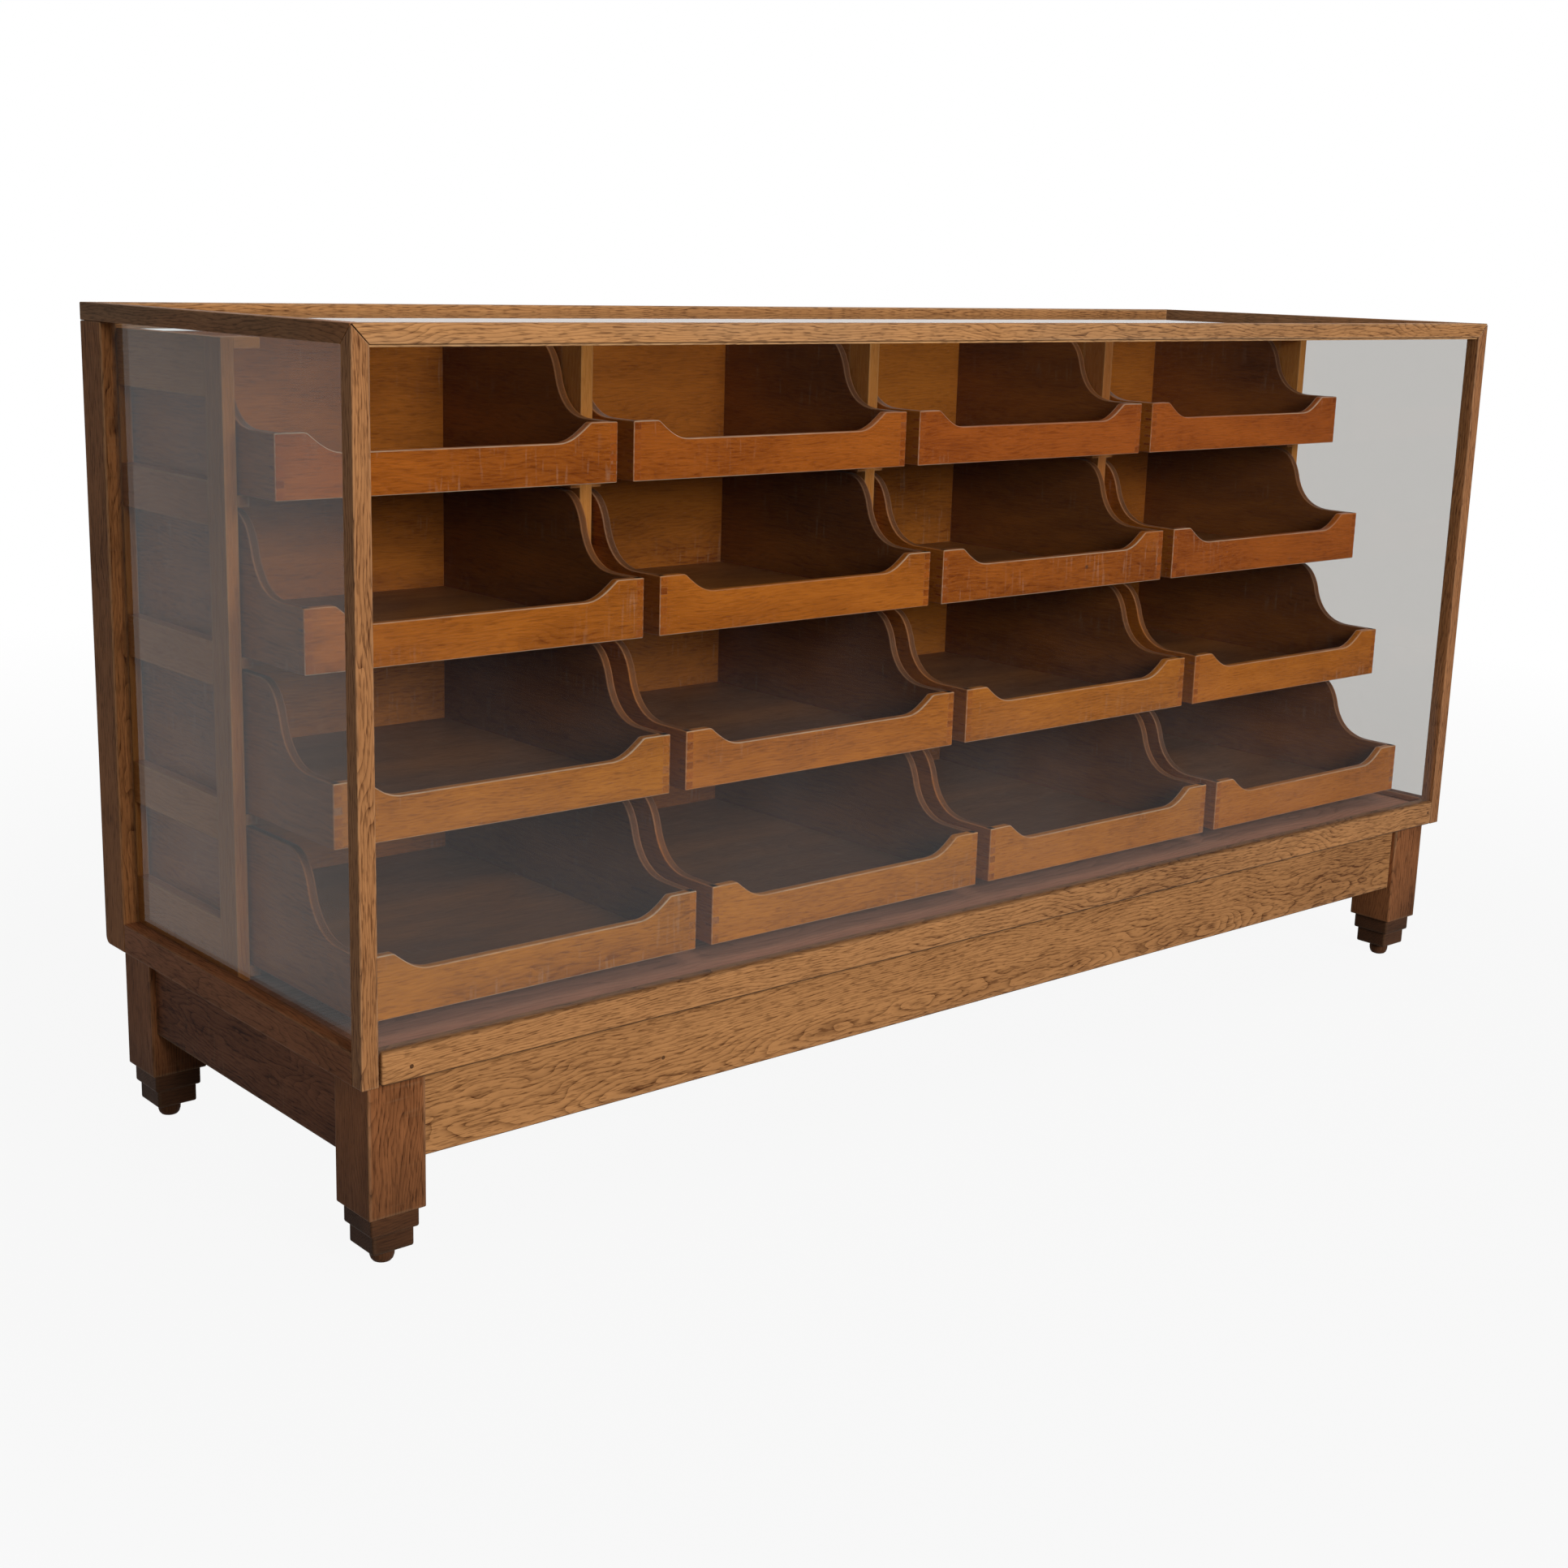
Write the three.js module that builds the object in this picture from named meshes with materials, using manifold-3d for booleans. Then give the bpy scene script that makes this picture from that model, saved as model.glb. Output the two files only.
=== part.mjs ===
// Haberdashery cabinet: an oak shop counter with a glazed case on four stepped legs.
// Sixteen display drawers stand in four columns and four stepped rows behind the front glass.
// The customer looks in through the glass; the clerk pulls the drawers out at the back.
// Millimetres. +Z is up, -Y is the glass front, +Y is the clerk's side, X runs along the counter.
import * as THREE from "three";
import { mergeVertices } from "three/addons/utils/BufferGeometryUtils.js";
import Module from "manifold-3d";

const wasm = await Module();
wasm.setup();

// Overall sizes
const CASE_WIDTH = 1800;
const CASE_DEPTH = 570;
const CASE_HEIGHT = 716;
const LEG_HEIGHT = 204;

// Fits shared by the whole build
const JOINT_GAP = 0.3; // between pieces that touch
const MITRE_GAP = JOINT_GAP / Math.SQRT2; // each member's share of a mitred joint line
const OVERRUN = 1; // how far a cut or a glued member reaches past a face

// Outer frame
const FRAME_SECTION = 19; // square stock of the front posts and the top rails
const BACK_POST_DEPTH = 49;
const POST_FOOT_ROUND = 9;
const TRAY_RAIL_HEIGHT = 34;
const FLOOR_THICKNESS = 26;

// Glass and its grooves
const FRONT_GLASS_THICKNESS = 4;
const FRONT_GLASS_SETBACK = 5;
const SIDE_GLASS_THICKNESS = 3;
const SIDE_GLASS_SETBACK = 13;
const TOP_GLASS_THICKNESS = 5;
const TOP_GLASS_DROP = 8;
const GROOVE_DEPTH = 6;
const SIDE_GLASS_TUCK = 4; // into the top rails, under the top pane

// Base
const LEG_SIDE = 65;
const LEG_INSET = 15;
const LEG_CHAMFER = 1.5;
const LEG_BLOCK_HEIGHT = 144;
const FOOT_STEP_HEIGHT = 21;
const FOOT_STEP_INSETS = [5, 9];
const GLIDE_RADIUS = 13;
const GLIDE_SEGMENTS = 16;
// Radius and height of each ring of the glide, from its flat foot up
const GLIDE_RING_SHARES = [
  [0, 0],
  [0.5, 0],
  [0.87, 0.2],
  [1, 0.62],
  [0.8, 1],
  [0, 1],
];
const APRON_HEIGHT = 92;
const APRON_THICKNESS = 18;
const APRON_SETBACK = 6; // behind the legs' outer faces

// Drawer carcass
const COLUMNS = 4;
const ROWS = 4;
const BOTTOM_ROW_LIFT = 16.7; // from the floor board to the underside of the lowest drawers
const ROW_HEADROOM = 30.5; // from the top of the highest drawers to the top of the case
const ROW_GAP = 15.6; // between the drawers of neighbouring rows
const CARCASS_SETBACK = 285; // from the front of the case to the front of the stiles
const CARCASS_HEADROOM = 25; // from the top of the stiles to the top of the case
const DIVIDER_THICKNESS = 16.2;
const END_FRAME_THICKNESS = 14;
const FRONT_STILE_DEPTH = 37;
const REAR_STILE_DEPTH = 30;
const SIDE_RAIL_HEIGHT = 46;
const SIDE_RAIL_RISE = 12; // top of a side rail over the underside of its drawer
const FOOT_RAIL_HEIGHT = 61;
const HEAD_RAIL_HEIGHT = 60;
const RUNNER_WIDTH = 13;
const RUNNER_HEIGHT = 12;
const RUNNER_CLEARANCE = 0.7;
const CLEAT_LENGTH = 43;
const CLEAT_HEIGHT = 11;
const REAR_DEPTH = 18; // of the back rail and of the back panels' lips, behind the carcass

// Drawers
const DRAWER_SIDE_CLEARANCE = 3;
const ROW_STEP = 51.3; // each lower row reaches this much further towards the glass
const BOTTOM_ROW_SETBACK = 58; // from the front of the case to the lowest drawer fronts
const DRAWER_FRONT_HEIGHT = 66.3;
const DRAWER_FRONT_THICKNESS = 11;
const DRAWER_SIDE_THICKNESS = 10;
const BACK_TONGUE = 4; // how far a back panel's raised middle stands into its bay
const LIP_GAP = 3; // between the lips of neighbouring back panels
const DRAWER_BOTTOM_THICKNESS = 5;
const DRAWER_BOTTOM_RISE = 3;
const FRONT_EAR_WIDTH = 33; // flat raised end of a drawer front
const FRONT_EAR_ROUND = 6;
const FRONT_COVE_WIDTH = 46;
const FRONT_DIP = 21.3;
const OGEE_START = 46; // from the drawer front to the foot of the side's ogee
const OGEE_LOWER_WIDTH = 58;
const OGEE_UPPER_WIDTH = 42;
const CURVE_STEPS = 8;

// Knobs on the clerk's side
const KNOB_RADIUS = 12.5;
const KNOB_PROJECTION = 22;
const KNOB_NECK_RADIUS = 5.5;
const KNOB_ROSE_RADIUS = 10;
const KNOB_ROSE_THICKNESS = 2.5;
const KNOB_SEGMENTS = 18;
// Radius and projection of each ring of the knob's head, from its neck outwards
const KNOB_HEAD_SHARES = [
  [0.84, 0.56],
  [1, 0.7],
  [0.9, 0.86],
  [0.52, 0.97],
  [0, 1],
];
const KNOB_NECK_END_SHARE = 0.45;

// Places worked out from the sizes above
const LEFT = -CASE_WIDTH / 2;
const RIGHT = CASE_WIDTH / 2;
const FRONT = -(CASE_DEPTH + KNOB_PROJECTION) / 2;
const BACK = FRONT + CASE_DEPTH;
const CASE_BOTTOM = LEG_HEIGHT;
const CASE_TOP = CASE_BOTTOM + CASE_HEIGHT;
const TOP_RAIL_BOTTOM = CASE_TOP - FRAME_SECTION;
const TRAY_RAIL_TOP = CASE_BOTTOM + TRAY_RAIL_HEIGHT;
const FLOOR_TOP = CASE_BOTTOM + FLOOR_THICKNESS;
const INNER_LEFT = LEFT + FRAME_SECTION + JOINT_GAP;
const INNER_RIGHT = RIGHT - FRAME_SECTION - JOINT_GAP;
const INNER_FRONT = FRONT + FRAME_SECTION + JOINT_GAP;
const BACK_POST_FRONT = BACK - BACK_POST_DEPTH;
const REAR_FRONT = BACK - REAR_DEPTH;
const CARCASS_FRONT = FRONT + CARCASS_SETBACK;
const CARCASS_BACK = REAR_FRONT - JOINT_GAP;
const CARCASS_BOTTOM = FLOOR_TOP + JOINT_GAP;
const CARCASS_TOP = CASE_TOP - CARCASS_HEADROOM;
const ROWS_HEIGHT = CASE_TOP - ROW_HEADROOM - FLOOR_TOP - BOTTOM_ROW_LIFT;
const ROW_PITCH = (ROWS_HEIGHT + ROW_GAP) / ROWS;
const DRAWER_HEIGHT = ROW_PITCH - ROW_GAP;
const BAY_SPACE = INNER_RIGHT - INNER_LEFT - 2 * END_FRAME_THICKNESS - (COLUMNS - 1) * DIVIDER_THICKNESS;
const BAY_WIDTH = BAY_SPACE / COLUMNS;
const BAY_PITCH = BAY_WIDTH + DIVIDER_THICKNESS;
const FIRST_BAY_LEFT = INNER_LEFT + END_FRAME_THICKNESS;
const DRAWER_WIDTH = BAY_WIDTH - 2 * DRAWER_SIDE_CLEARANCE;
const LIP_HEIGHT = ROW_PITCH - LIP_GAP;

// Row 1 is the top row and column 1 the left one, seen from the glass front.
const drawerBottom = (row) => FLOOR_TOP + BOTTOM_ROW_LIFT + (ROWS - row) * ROW_PITCH;
const drawerFront = (row) => FRONT + BOTTOM_ROW_SETBACK + (ROWS - row) * ROW_STEP;
const bayLeft = (column) => FIRST_BAY_LEFT + (column - 1) * BAY_PITCH;
const drawerLeft = (column) => bayLeft(column) + DRAWER_SIDE_CLEARANCE;
const drawerTop = (row) => drawerBottom(row) + DRAWER_HEIGHT;
// The lip's left edge in a column: half a gap past the middle of the divider it covers, or past
// the back post; its right edge likewise.
const lipLeft = (column) =>
  (column > 1 ? bayLeft(column) - DIVIDER_THICKNESS / 2 : INNER_LEFT) + LIP_GAP / 2;
const lipRight = (column) =>
  (column < COLUMNS ? bayLeft(column + 1) - DIVIDER_THICKNESS / 2 : INNER_RIGHT) - LIP_GAP / 2;

// Finishes
const finish = (color, roughness, metalness = 0) =>
  new THREE.MeshStandardMaterial({ color, roughness, metalness });
const lightOak = finish(0xa87b50, 0.55);
const agedOak = finish(0x6b4630, 0.6);
const carcassWood = finish(0xb5834f, 0.55);
const drawerWood = finish(0xa86a34, 0.45);
const floorWood = finish(0x6f5a48, 0.6);
const brass = finish(0xb08a45, 0.3, 1);
const glass = new THREE.MeshStandardMaterial({
  color: 0xd5dde0,
  roughness: 0.05,
  transparent: true,
  opacity: 0.3,
});

// A closed geometry becomes a solid that can be joined and cut.
function solid(geometry) {
  geometry.deleteAttribute("normal");
  geometry.deleteAttribute("uv");
  const merged = mergeVertices(geometry, 1e-4);
  return new wasm.Manifold(
    new wasm.Mesh({
      numProp: 3,
      vertProperties: new Float32Array(merged.attributes.position.array),
      triVerts: new Uint32Array(merged.index.array),
    }),
  );
}

const joined = (solids) => solids.reduce((whole, piece) => whole.add(piece));

const root = new THREE.Group();

function place(name, body, material) {
  const mesh = body.getMesh();
  const geometry = new THREE.BufferGeometry();
  geometry.setAttribute("position", new THREE.BufferAttribute(mesh.vertProperties, 3));
  geometry.setIndex(new THREE.BufferAttribute(mesh.triVerts, 1));
  geometry.computeVertexNormals();
  const placed = new THREE.Mesh(geometry, material);
  placed.name = name;
  root.add(placed);
}

// A straight-sided block between two corners.
function block(x0, x1, y0, y1, z0, z1) {
  const geometry = new THREE.BoxGeometry(x1 - x0, y1 - y0, z1 - z0);
  geometry.translate((x0 + x1) / 2, (y0 + y1) / 2, (z0 + z1) / 2);
  return solid(geometry);
}

// An outline in Y and Z, carried along X.
function alongX(outline, x0, x1) {
  const shape = new THREE.Shape(outline.map(([y, z]) => new THREE.Vector2(y, z)));
  const geometry = new THREE.ExtrudeGeometry(shape, { depth: x1 - x0, bevelEnabled: false });
  const turn = new THREE.Matrix4().makeBasis(
    new THREE.Vector3(0, 1, 0),
    new THREE.Vector3(0, 0, 1),
    new THREE.Vector3(1, 0, 0),
  );
  geometry.applyMatrix4(turn);
  geometry.translate(x0, 0, 0);
  return solid(geometry);
}

// An outline in X and Z, carried along Y.
function alongY(outline, y0, y1) {
  const shape = new THREE.Shape(outline.map(([x, z]) => new THREE.Vector2(x, z)));
  const geometry = new THREE.ExtrudeGeometry(shape, { depth: y1 - y0, bevelEnabled: false });
  const turn = new THREE.Matrix4().makeBasis(
    new THREE.Vector3(1, 0, 0),
    new THREE.Vector3(0, 0, 1),
    new THREE.Vector3(0, -1, 0),
  );
  geometry.applyMatrix4(turn);
  geometry.translate(0, y1, 0);
  return solid(geometry);
}

// Points of a cubic curve from a to d with handles b and c, without its first point.
function curvePoints(a, b, c, d) {
  const curve = new THREE.CubicBezierCurve(
    new THREE.Vector2(...a),
    new THREE.Vector2(...b),
    new THREE.Vector2(...c),
    new THREE.Vector2(...d),
  );
  return curve.getPoints(CURVE_STEPS).slice(1).map((point) => [point.x, point.y]);
}

// A straight bar whose four long edges start and stop where each corner says, so that its ends
// can be cut to a mitre. Corners are [start point, end point]; the first and third corners
// carry the fold of the end cut.
function mitredBar(corners) {
  const points = [...corners.map((corner) => corner[0]), ...corners.map((corner) => corner[1])];
  const geometry = new THREE.BufferGeometry();
  geometry.setAttribute("position", new THREE.Float32BufferAttribute(points.flat(), 3));
  const faces = [0, 2, 1, 0, 3, 2, 4, 5, 6, 4, 6, 7];
  for (let i = 0; i < 4; i++) {
    const next = (i + 1) % 4;
    faces.push(i, next, next + 4, i, next + 4, i + 4);
  }
  geometry.setIndex(faces);
  return solid(geometry);
}

const mirrorX = (body) => body.mirror([1, 0, 0]);

// Glass panes lie in grooves cut by the pane's own size and the joint gap.
const frontGlassY = FRONT + FRONT_GLASS_SETBACK;
const grooveSeat = FRAME_SECTION - GROOVE_DEPTH;
const topGlassTop = CASE_TOP - TOP_GLASS_DROP;
const panes = {
  glass_front: [
    LEFT + grooveSeat,
    RIGHT - grooveSeat,
    frontGlassY,
    frontGlassY + FRONT_GLASS_THICKNESS,
    TRAY_RAIL_TOP - GROOVE_DEPTH,
    TOP_RAIL_BOTTOM + GROOVE_DEPTH,
  ],
  glass_left: [
    LEFT + SIDE_GLASS_SETBACK,
    LEFT + SIDE_GLASS_SETBACK + SIDE_GLASS_THICKNESS,
    FRONT + grooveSeat,
    BACK_POST_FRONT + GROOVE_DEPTH,
    TRAY_RAIL_TOP - GROOVE_DEPTH,
    TOP_RAIL_BOTTOM + SIDE_GLASS_TUCK,
  ],
  glass_right: [
    RIGHT - SIDE_GLASS_SETBACK - SIDE_GLASS_THICKNESS,
    RIGHT - SIDE_GLASS_SETBACK,
    FRONT + grooveSeat,
    BACK_POST_FRONT + GROOVE_DEPTH,
    TRAY_RAIL_TOP - GROOVE_DEPTH,
    TOP_RAIL_BOTTOM + SIDE_GLASS_TUCK,
  ],
  glass_top: [
    LEFT + grooveSeat,
    RIGHT - grooveSeat,
    FRONT + grooveSeat,
    REAR_FRONT + GROOVE_DEPTH,
    topGlassTop - TOP_GLASS_THICKNESS,
    topGlassTop,
  ],
};
for (const [name, box] of Object.entries(panes)) place(name, block(...box), glass);

function grooved(body) {
  return Object.values(panes).reduce((cut, box) => {
    const groove = box.map((edge, i) => edge + (i % 2 ? JOINT_GAP : -JOINT_GAP));
    return cut.subtract(block(...groove));
  }, body);
}

// Front posts: the top is cut back from the outer corner for the three-way mitre.
const frontPost = mitredBar([
  [
    [LEFT, FRONT, CASE_BOTTOM],
    [LEFT, FRONT, CASE_TOP - MITRE_GAP],
  ],
  [
    [LEFT + FRAME_SECTION, FRONT, CASE_BOTTOM],
    [LEFT + FRAME_SECTION, FRONT, TOP_RAIL_BOTTOM - MITRE_GAP],
  ],
  [
    [LEFT + FRAME_SECTION, FRONT + FRAME_SECTION, CASE_BOTTOM],
    [LEFT + FRAME_SECTION, FRONT + FRAME_SECTION, TOP_RAIL_BOTTOM - MITRE_GAP],
  ],
  [
    [LEFT, FRONT + FRAME_SECTION, CASE_BOTTOM],
    [LEFT, FRONT + FRAME_SECTION, TOP_RAIL_BOTTOM - MITRE_GAP],
  ],
]);
place("front_post_left", grooved(frontPost), agedOak);
place("front_post_right", grooved(mirrorX(frontPost)), agedOak);

// Back posts: wider boards under the ends of the side top rails, rounded at the foot.
function footRound() {
  const steps = CURVE_STEPS / 2;
  return Array.from({ length: steps + 1 }, (_, i) => {
    const angle = (i / steps) * (Math.PI / 2);
    const inward = POST_FOOT_ROUND * (1 - Math.sin(angle));
    const up = POST_FOOT_ROUND * (1 - Math.cos(angle));
    return [BACK - inward, CASE_BOTTOM + up];
  });
}
const backPost = alongX(
  [
    [BACK_POST_FRONT, CASE_BOTTOM],
    ...footRound(),
    [BACK, TOP_RAIL_BOTTOM - JOINT_GAP],
    [BACK_POST_FRONT, TOP_RAIL_BOTTOM - JOINT_GAP],
  ],
  LEFT,
  LEFT + FRAME_SECTION,
);
place("back_post_left", grooved(backPost), agedOak);
place("back_post_right", grooved(mirrorX(backPost)), agedOak);

// Top rails: the front one is mitred at both ends, the side ones at the front.
const railInset = FRAME_SECTION + MITRE_GAP;
place(
  "top_rail_front",
  grooved(
    mitredBar([
      [
        [LEFT + MITRE_GAP, FRONT, CASE_TOP],
        [RIGHT - MITRE_GAP, FRONT, CASE_TOP],
      ],
      [
        [LEFT + railInset, FRONT, TOP_RAIL_BOTTOM],
        [RIGHT - railInset, FRONT, TOP_RAIL_BOTTOM],
      ],
      [
        [LEFT + railInset, FRONT + FRAME_SECTION, TOP_RAIL_BOTTOM],
        [RIGHT - railInset, FRONT + FRAME_SECTION, TOP_RAIL_BOTTOM],
      ],
      [
        [LEFT + railInset, FRONT + FRAME_SECTION, CASE_TOP],
        [RIGHT - railInset, FRONT + FRAME_SECTION, CASE_TOP],
      ],
    ]),
  ),
  lightOak,
);
const sideTopRail = mitredBar([
  [
    [LEFT, FRONT + MITRE_GAP, CASE_TOP],
    [LEFT, BACK, CASE_TOP],
  ],
  [
    [LEFT + FRAME_SECTION, FRONT + railInset, CASE_TOP],
    [LEFT + FRAME_SECTION, BACK, CASE_TOP],
  ],
  [
    [LEFT + FRAME_SECTION, FRONT + railInset, TOP_RAIL_BOTTOM],
    [LEFT + FRAME_SECTION, BACK, TOP_RAIL_BOTTOM],
  ],
  [
    [LEFT, FRONT + railInset, TOP_RAIL_BOTTOM],
    [LEFT, BACK, TOP_RAIL_BOTTOM],
  ],
]);
place("top_rail_left", grooved(sideTopRail), agedOak);
place("top_rail_right", grooved(mirrorX(sideTopRail)), agedOak);

// Tray rails round the foot of the glass, between the posts.
place(
  "tray_rail_front",
  grooved(block(INNER_LEFT, INNER_RIGHT, FRONT, FRONT + FRAME_SECTION, CASE_BOTTOM, TRAY_RAIL_TOP)),
  lightOak,
);
const sideTrayRail = block(
  LEFT,
  LEFT + FRAME_SECTION,
  INNER_FRONT,
  BACK_POST_FRONT - JOINT_GAP,
  CASE_BOTTOM,
  TRAY_RAIL_TOP,
);
place("tray_rail_left", grooved(sideTrayRail), agedOak);
place("tray_rail_right", grooved(mirrorX(sideTrayRail)), agedOak);

// Aprons between the legs, set back from the legs' outer faces. The back one is glued under
// the floor board.
const baseTop = CASE_BOTTOM - JOINT_GAP;
const apronBottom = CASE_BOTTOM - APRON_HEIGHT;
const apronFace = LEG_INSET + APRON_SETBACK;
const apronReach = LEG_INSET + LEG_SIDE + JOINT_GAP;
place(
  "apron_front",
  block(
    LEFT + apronReach,
    RIGHT - apronReach,
    FRONT + apronFace,
    FRONT + apronFace + APRON_THICKNESS,
    apronBottom,
    baseTop,
  ),
  lightOak,
);
const sideApron = block(
  LEFT + apronFace,
  LEFT + apronFace + APRON_THICKNESS,
  FRONT + apronReach,
  BACK - apronReach,
  apronBottom,
  baseTop,
);
place("apron_left", sideApron, agedOak);
place("apron_right", mirrorX(sideApron), agedOak);
const backApron = block(
  LEFT + apronReach,
  RIGHT - apronReach,
  BACK - apronFace - APRON_THICKNESS,
  BACK - apronFace,
  apronBottom,
  CASE_BOTTOM + OVERRUN,
);
place(
  "floor_board",
  block(INNER_LEFT, INNER_RIGHT, INNER_FRONT, BACK, CASE_BOTTOM, FLOOR_TOP).add(backApron),
  floorWood,
);

// Legs: a chamfered square block over two smaller steps and a round glide.
function chamferedBlock(inset, z0, z1) {
  const half = LEG_SIDE / 2 - inset;
  const cut = half - LEG_CHAMFER;
  const outline = [
    [half, cut],
    [cut, half],
    [-cut, half],
    [-half, cut],
    [-half, -cut],
    [-cut, -half],
    [cut, -half],
    [half, -cut],
  ];
  const shape = new THREE.Shape(outline.map(([x, y]) => new THREE.Vector2(x, y)));
  const geometry = new THREE.ExtrudeGeometry(shape, { depth: z1 - z0, bevelEnabled: false });
  geometry.translate(0, 0, z0);
  return solid(geometry);
}
function legBody() {
  const shoulder = CASE_BOTTOM - LEG_BLOCK_HEIGHT;
  const steps = FOOT_STEP_INSETS.map((inset, i) =>
    chamferedBlock(inset, shoulder - (i + 1) * FOOT_STEP_HEIGHT, shoulder - i * FOOT_STEP_HEIGHT + OVERRUN),
  );
  const glideHeight = shoulder - FOOT_STEP_INSETS.length * FOOT_STEP_HEIGHT + OVERRUN;
  const rings = GLIDE_RING_SHARES.map(([r, z]) => new THREE.Vector2(r * GLIDE_RADIUS, z * glideHeight));
  const glide = new THREE.LatheGeometry(rings, GLIDE_SEGMENTS);
  glide.rotateX(Math.PI / 2);
  return joined([chamferedBlock(0, shoulder, baseTop), ...steps, solid(glide)]);
}
const legX = CASE_WIDTH / 2 - LEG_INSET - LEG_SIDE / 2;
const legFrontY = FRONT + LEG_INSET + LEG_SIDE / 2;
const legBackY = BACK - LEG_INSET - LEG_SIDE / 2;
const leg = legBody();
place("leg_front_left", leg.translate([-legX, legFrontY, 0]), agedOak);
place("leg_front_right", leg.translate([legX, legFrontY, 0]), agedOak);
place("leg_back_left", leg.translate([-legX, legBackY, 0]), agedOak);
place("leg_back_right", leg.translate([legX, legBackY, 0]), agedOak);

// Carcass frames: two stiles, a rail beside each drawer row, a head rail and a foot rail, with
// a runner under every drawer on the faces named by sides (-1 is the left face, 1 the right).
const rowNumbers = Array.from({ length: ROWS }, (_, i) => i + 1);
const columnNumbers = Array.from({ length: COLUMNS }, (_, i) => i + 1);
function carcassFrame(x0, x1, sides) {
  const railFront = CARCASS_FRONT + FRONT_STILE_DEPTH - OVERRUN;
  const railBack = CARCASS_BACK - REAR_STILE_DEPTH + OVERRUN;
  const parts = [
    block(x0, x1, CARCASS_FRONT, CARCASS_FRONT + FRONT_STILE_DEPTH, CARCASS_BOTTOM, CARCASS_TOP),
    block(x0, x1, CARCASS_BACK - REAR_STILE_DEPTH, CARCASS_BACK, CARCASS_BOTTOM, CARCASS_TOP),
    block(x0, x1, railFront, railBack, CARCASS_BOTTOM, CARCASS_BOTTOM + FOOT_RAIL_HEIGHT),
    block(x0, x1, railFront, railBack, CARCASS_TOP - HEAD_RAIL_HEIGHT, CARCASS_TOP),
  ];
  for (const row of rowNumbers.slice(0, -1)) {
    const railTop = drawerBottom(row) + SIDE_RAIL_RISE;
    parts.push(block(x0, x1, railFront, railBack, railTop - SIDE_RAIL_HEIGHT, railTop));
  }
  for (const side of sides) {
    const face = side < 0 ? x0 : x1;
    const reach = face + side * RUNNER_WIDTH;
    const inside = face - side * OVERRUN;
    for (const row of rowNumbers) {
      const top = drawerBottom(row) - RUNNER_CLEARANCE;
      parts.push(
        block(
          Math.min(reach, inside),
          Math.max(reach, inside),
          CARCASS_FRONT,
          CARCASS_BACK,
          top - RUNNER_HEIGHT,
          top,
        ),
      );
    }
  }
  return joined(parts);
}
const cleat = block(
  INNER_LEFT,
  INNER_LEFT + CLEAT_LENGTH,
  CARCASS_FRONT,
  CARCASS_FRONT + FRONT_STILE_DEPTH,
  CARCASS_TOP - CLEAT_HEIGHT,
  CARCASS_TOP,
);
const endFrame = carcassFrame(INNER_LEFT, INNER_LEFT + END_FRAME_THICKNESS, [1]).add(cleat);
place("end_frame_left", endFrame, carcassWood);
place("end_frame_right", mirrorX(endFrame), carcassWood);
for (const column of columnNumbers.slice(1)) {
  const right = bayLeft(column);
  place(`divider_${column - 1}`, carcassFrame(right - DIVIDER_THICKNESS, right, [-1, 1]), carcassWood);
}

// Back top rail: ties the carcass frames together over the top row's back panels and holds the
// back edge of the top glass.
const backRail = block(INNER_LEFT, INNER_RIGHT, REAR_FRONT, BACK, drawerTop(1) + LIP_GAP, CASE_TOP);
place("top_rail_back", grooved(backRail), lightOak);

// Drawer front: raised flat ears, coves down to a straight lower middle.
function frontOutline() {
  const top = DRAWER_FRONT_HEIGHT;
  const low = top - FRONT_DIP;
  const earEnd = FRONT_EAR_WIDTH + FRONT_EAR_ROUND;
  const roundDrop = FRONT_EAR_ROUND / 2;
  const coveEnd = FRONT_EAR_WIDTH + FRONT_COVE_WIDTH;
  const steepShare = 0.25;
  const flatShare = 0.55;
  const half = [
    [0, top],
    [FRONT_EAR_WIDTH, top],
    ...curvePoints(
      [FRONT_EAR_WIDTH, top],
      [FRONT_EAR_WIDTH + FRONT_EAR_ROUND / 2, top],
      [earEnd - FRONT_EAR_ROUND / 4, top - roundDrop / 2],
      [earEnd, top - roundDrop],
    ).filter((_, i) => i % 2),
    ...curvePoints(
      [earEnd, top - roundDrop],
      [earEnd + FRONT_COVE_WIDTH * steepShare, top - FRONT_DIP * flatShare],
      [earEnd + (coveEnd - earEnd) * flatShare, low],
      [coveEnd, low],
    ),
  ];
  const otherHalf = half.map(([x, z]) => [DRAWER_WIDTH - x, z]).reverse();
  return [[0, 0], ...half, ...otherHalf, [DRAWER_WIDTH, 0]];
}

// Drawer side: low at the front, an ogee up to the full height, then level to the back.
function sideOutline(length) {
  const low = DRAWER_FRONT_HEIGHT;
  const rise = DRAWER_HEIGHT - low;
  const middle = low + rise / 2;
  const bend = OGEE_START + OGEE_LOWER_WIDTH;
  const end = bend + OGEE_UPPER_WIDTH;
  const levelShare = 0.55;
  const leanShare = 0.14;
  const riseShare = 0.3;
  return [
    [0, 0],
    [length, 0],
    [length, DRAWER_HEIGHT],
    [end, DRAWER_HEIGHT],
    ...curvePoints(
      [end, DRAWER_HEIGHT],
      [end - OGEE_UPPER_WIDTH * levelShare, DRAWER_HEIGHT],
      [bend + OGEE_UPPER_WIDTH * leanShare, middle + rise * riseShare],
      [bend, middle],
    ),
    ...curvePoints(
      [bend, middle],
      [bend - OGEE_LOWER_WIDTH * leanShare, middle - rise * riseShare],
      [OGEE_START + OGEE_LOWER_WIDTH * levelShare, low],
      [OGEE_START, low],
    ),
    [0, low],
  ];
}

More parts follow.
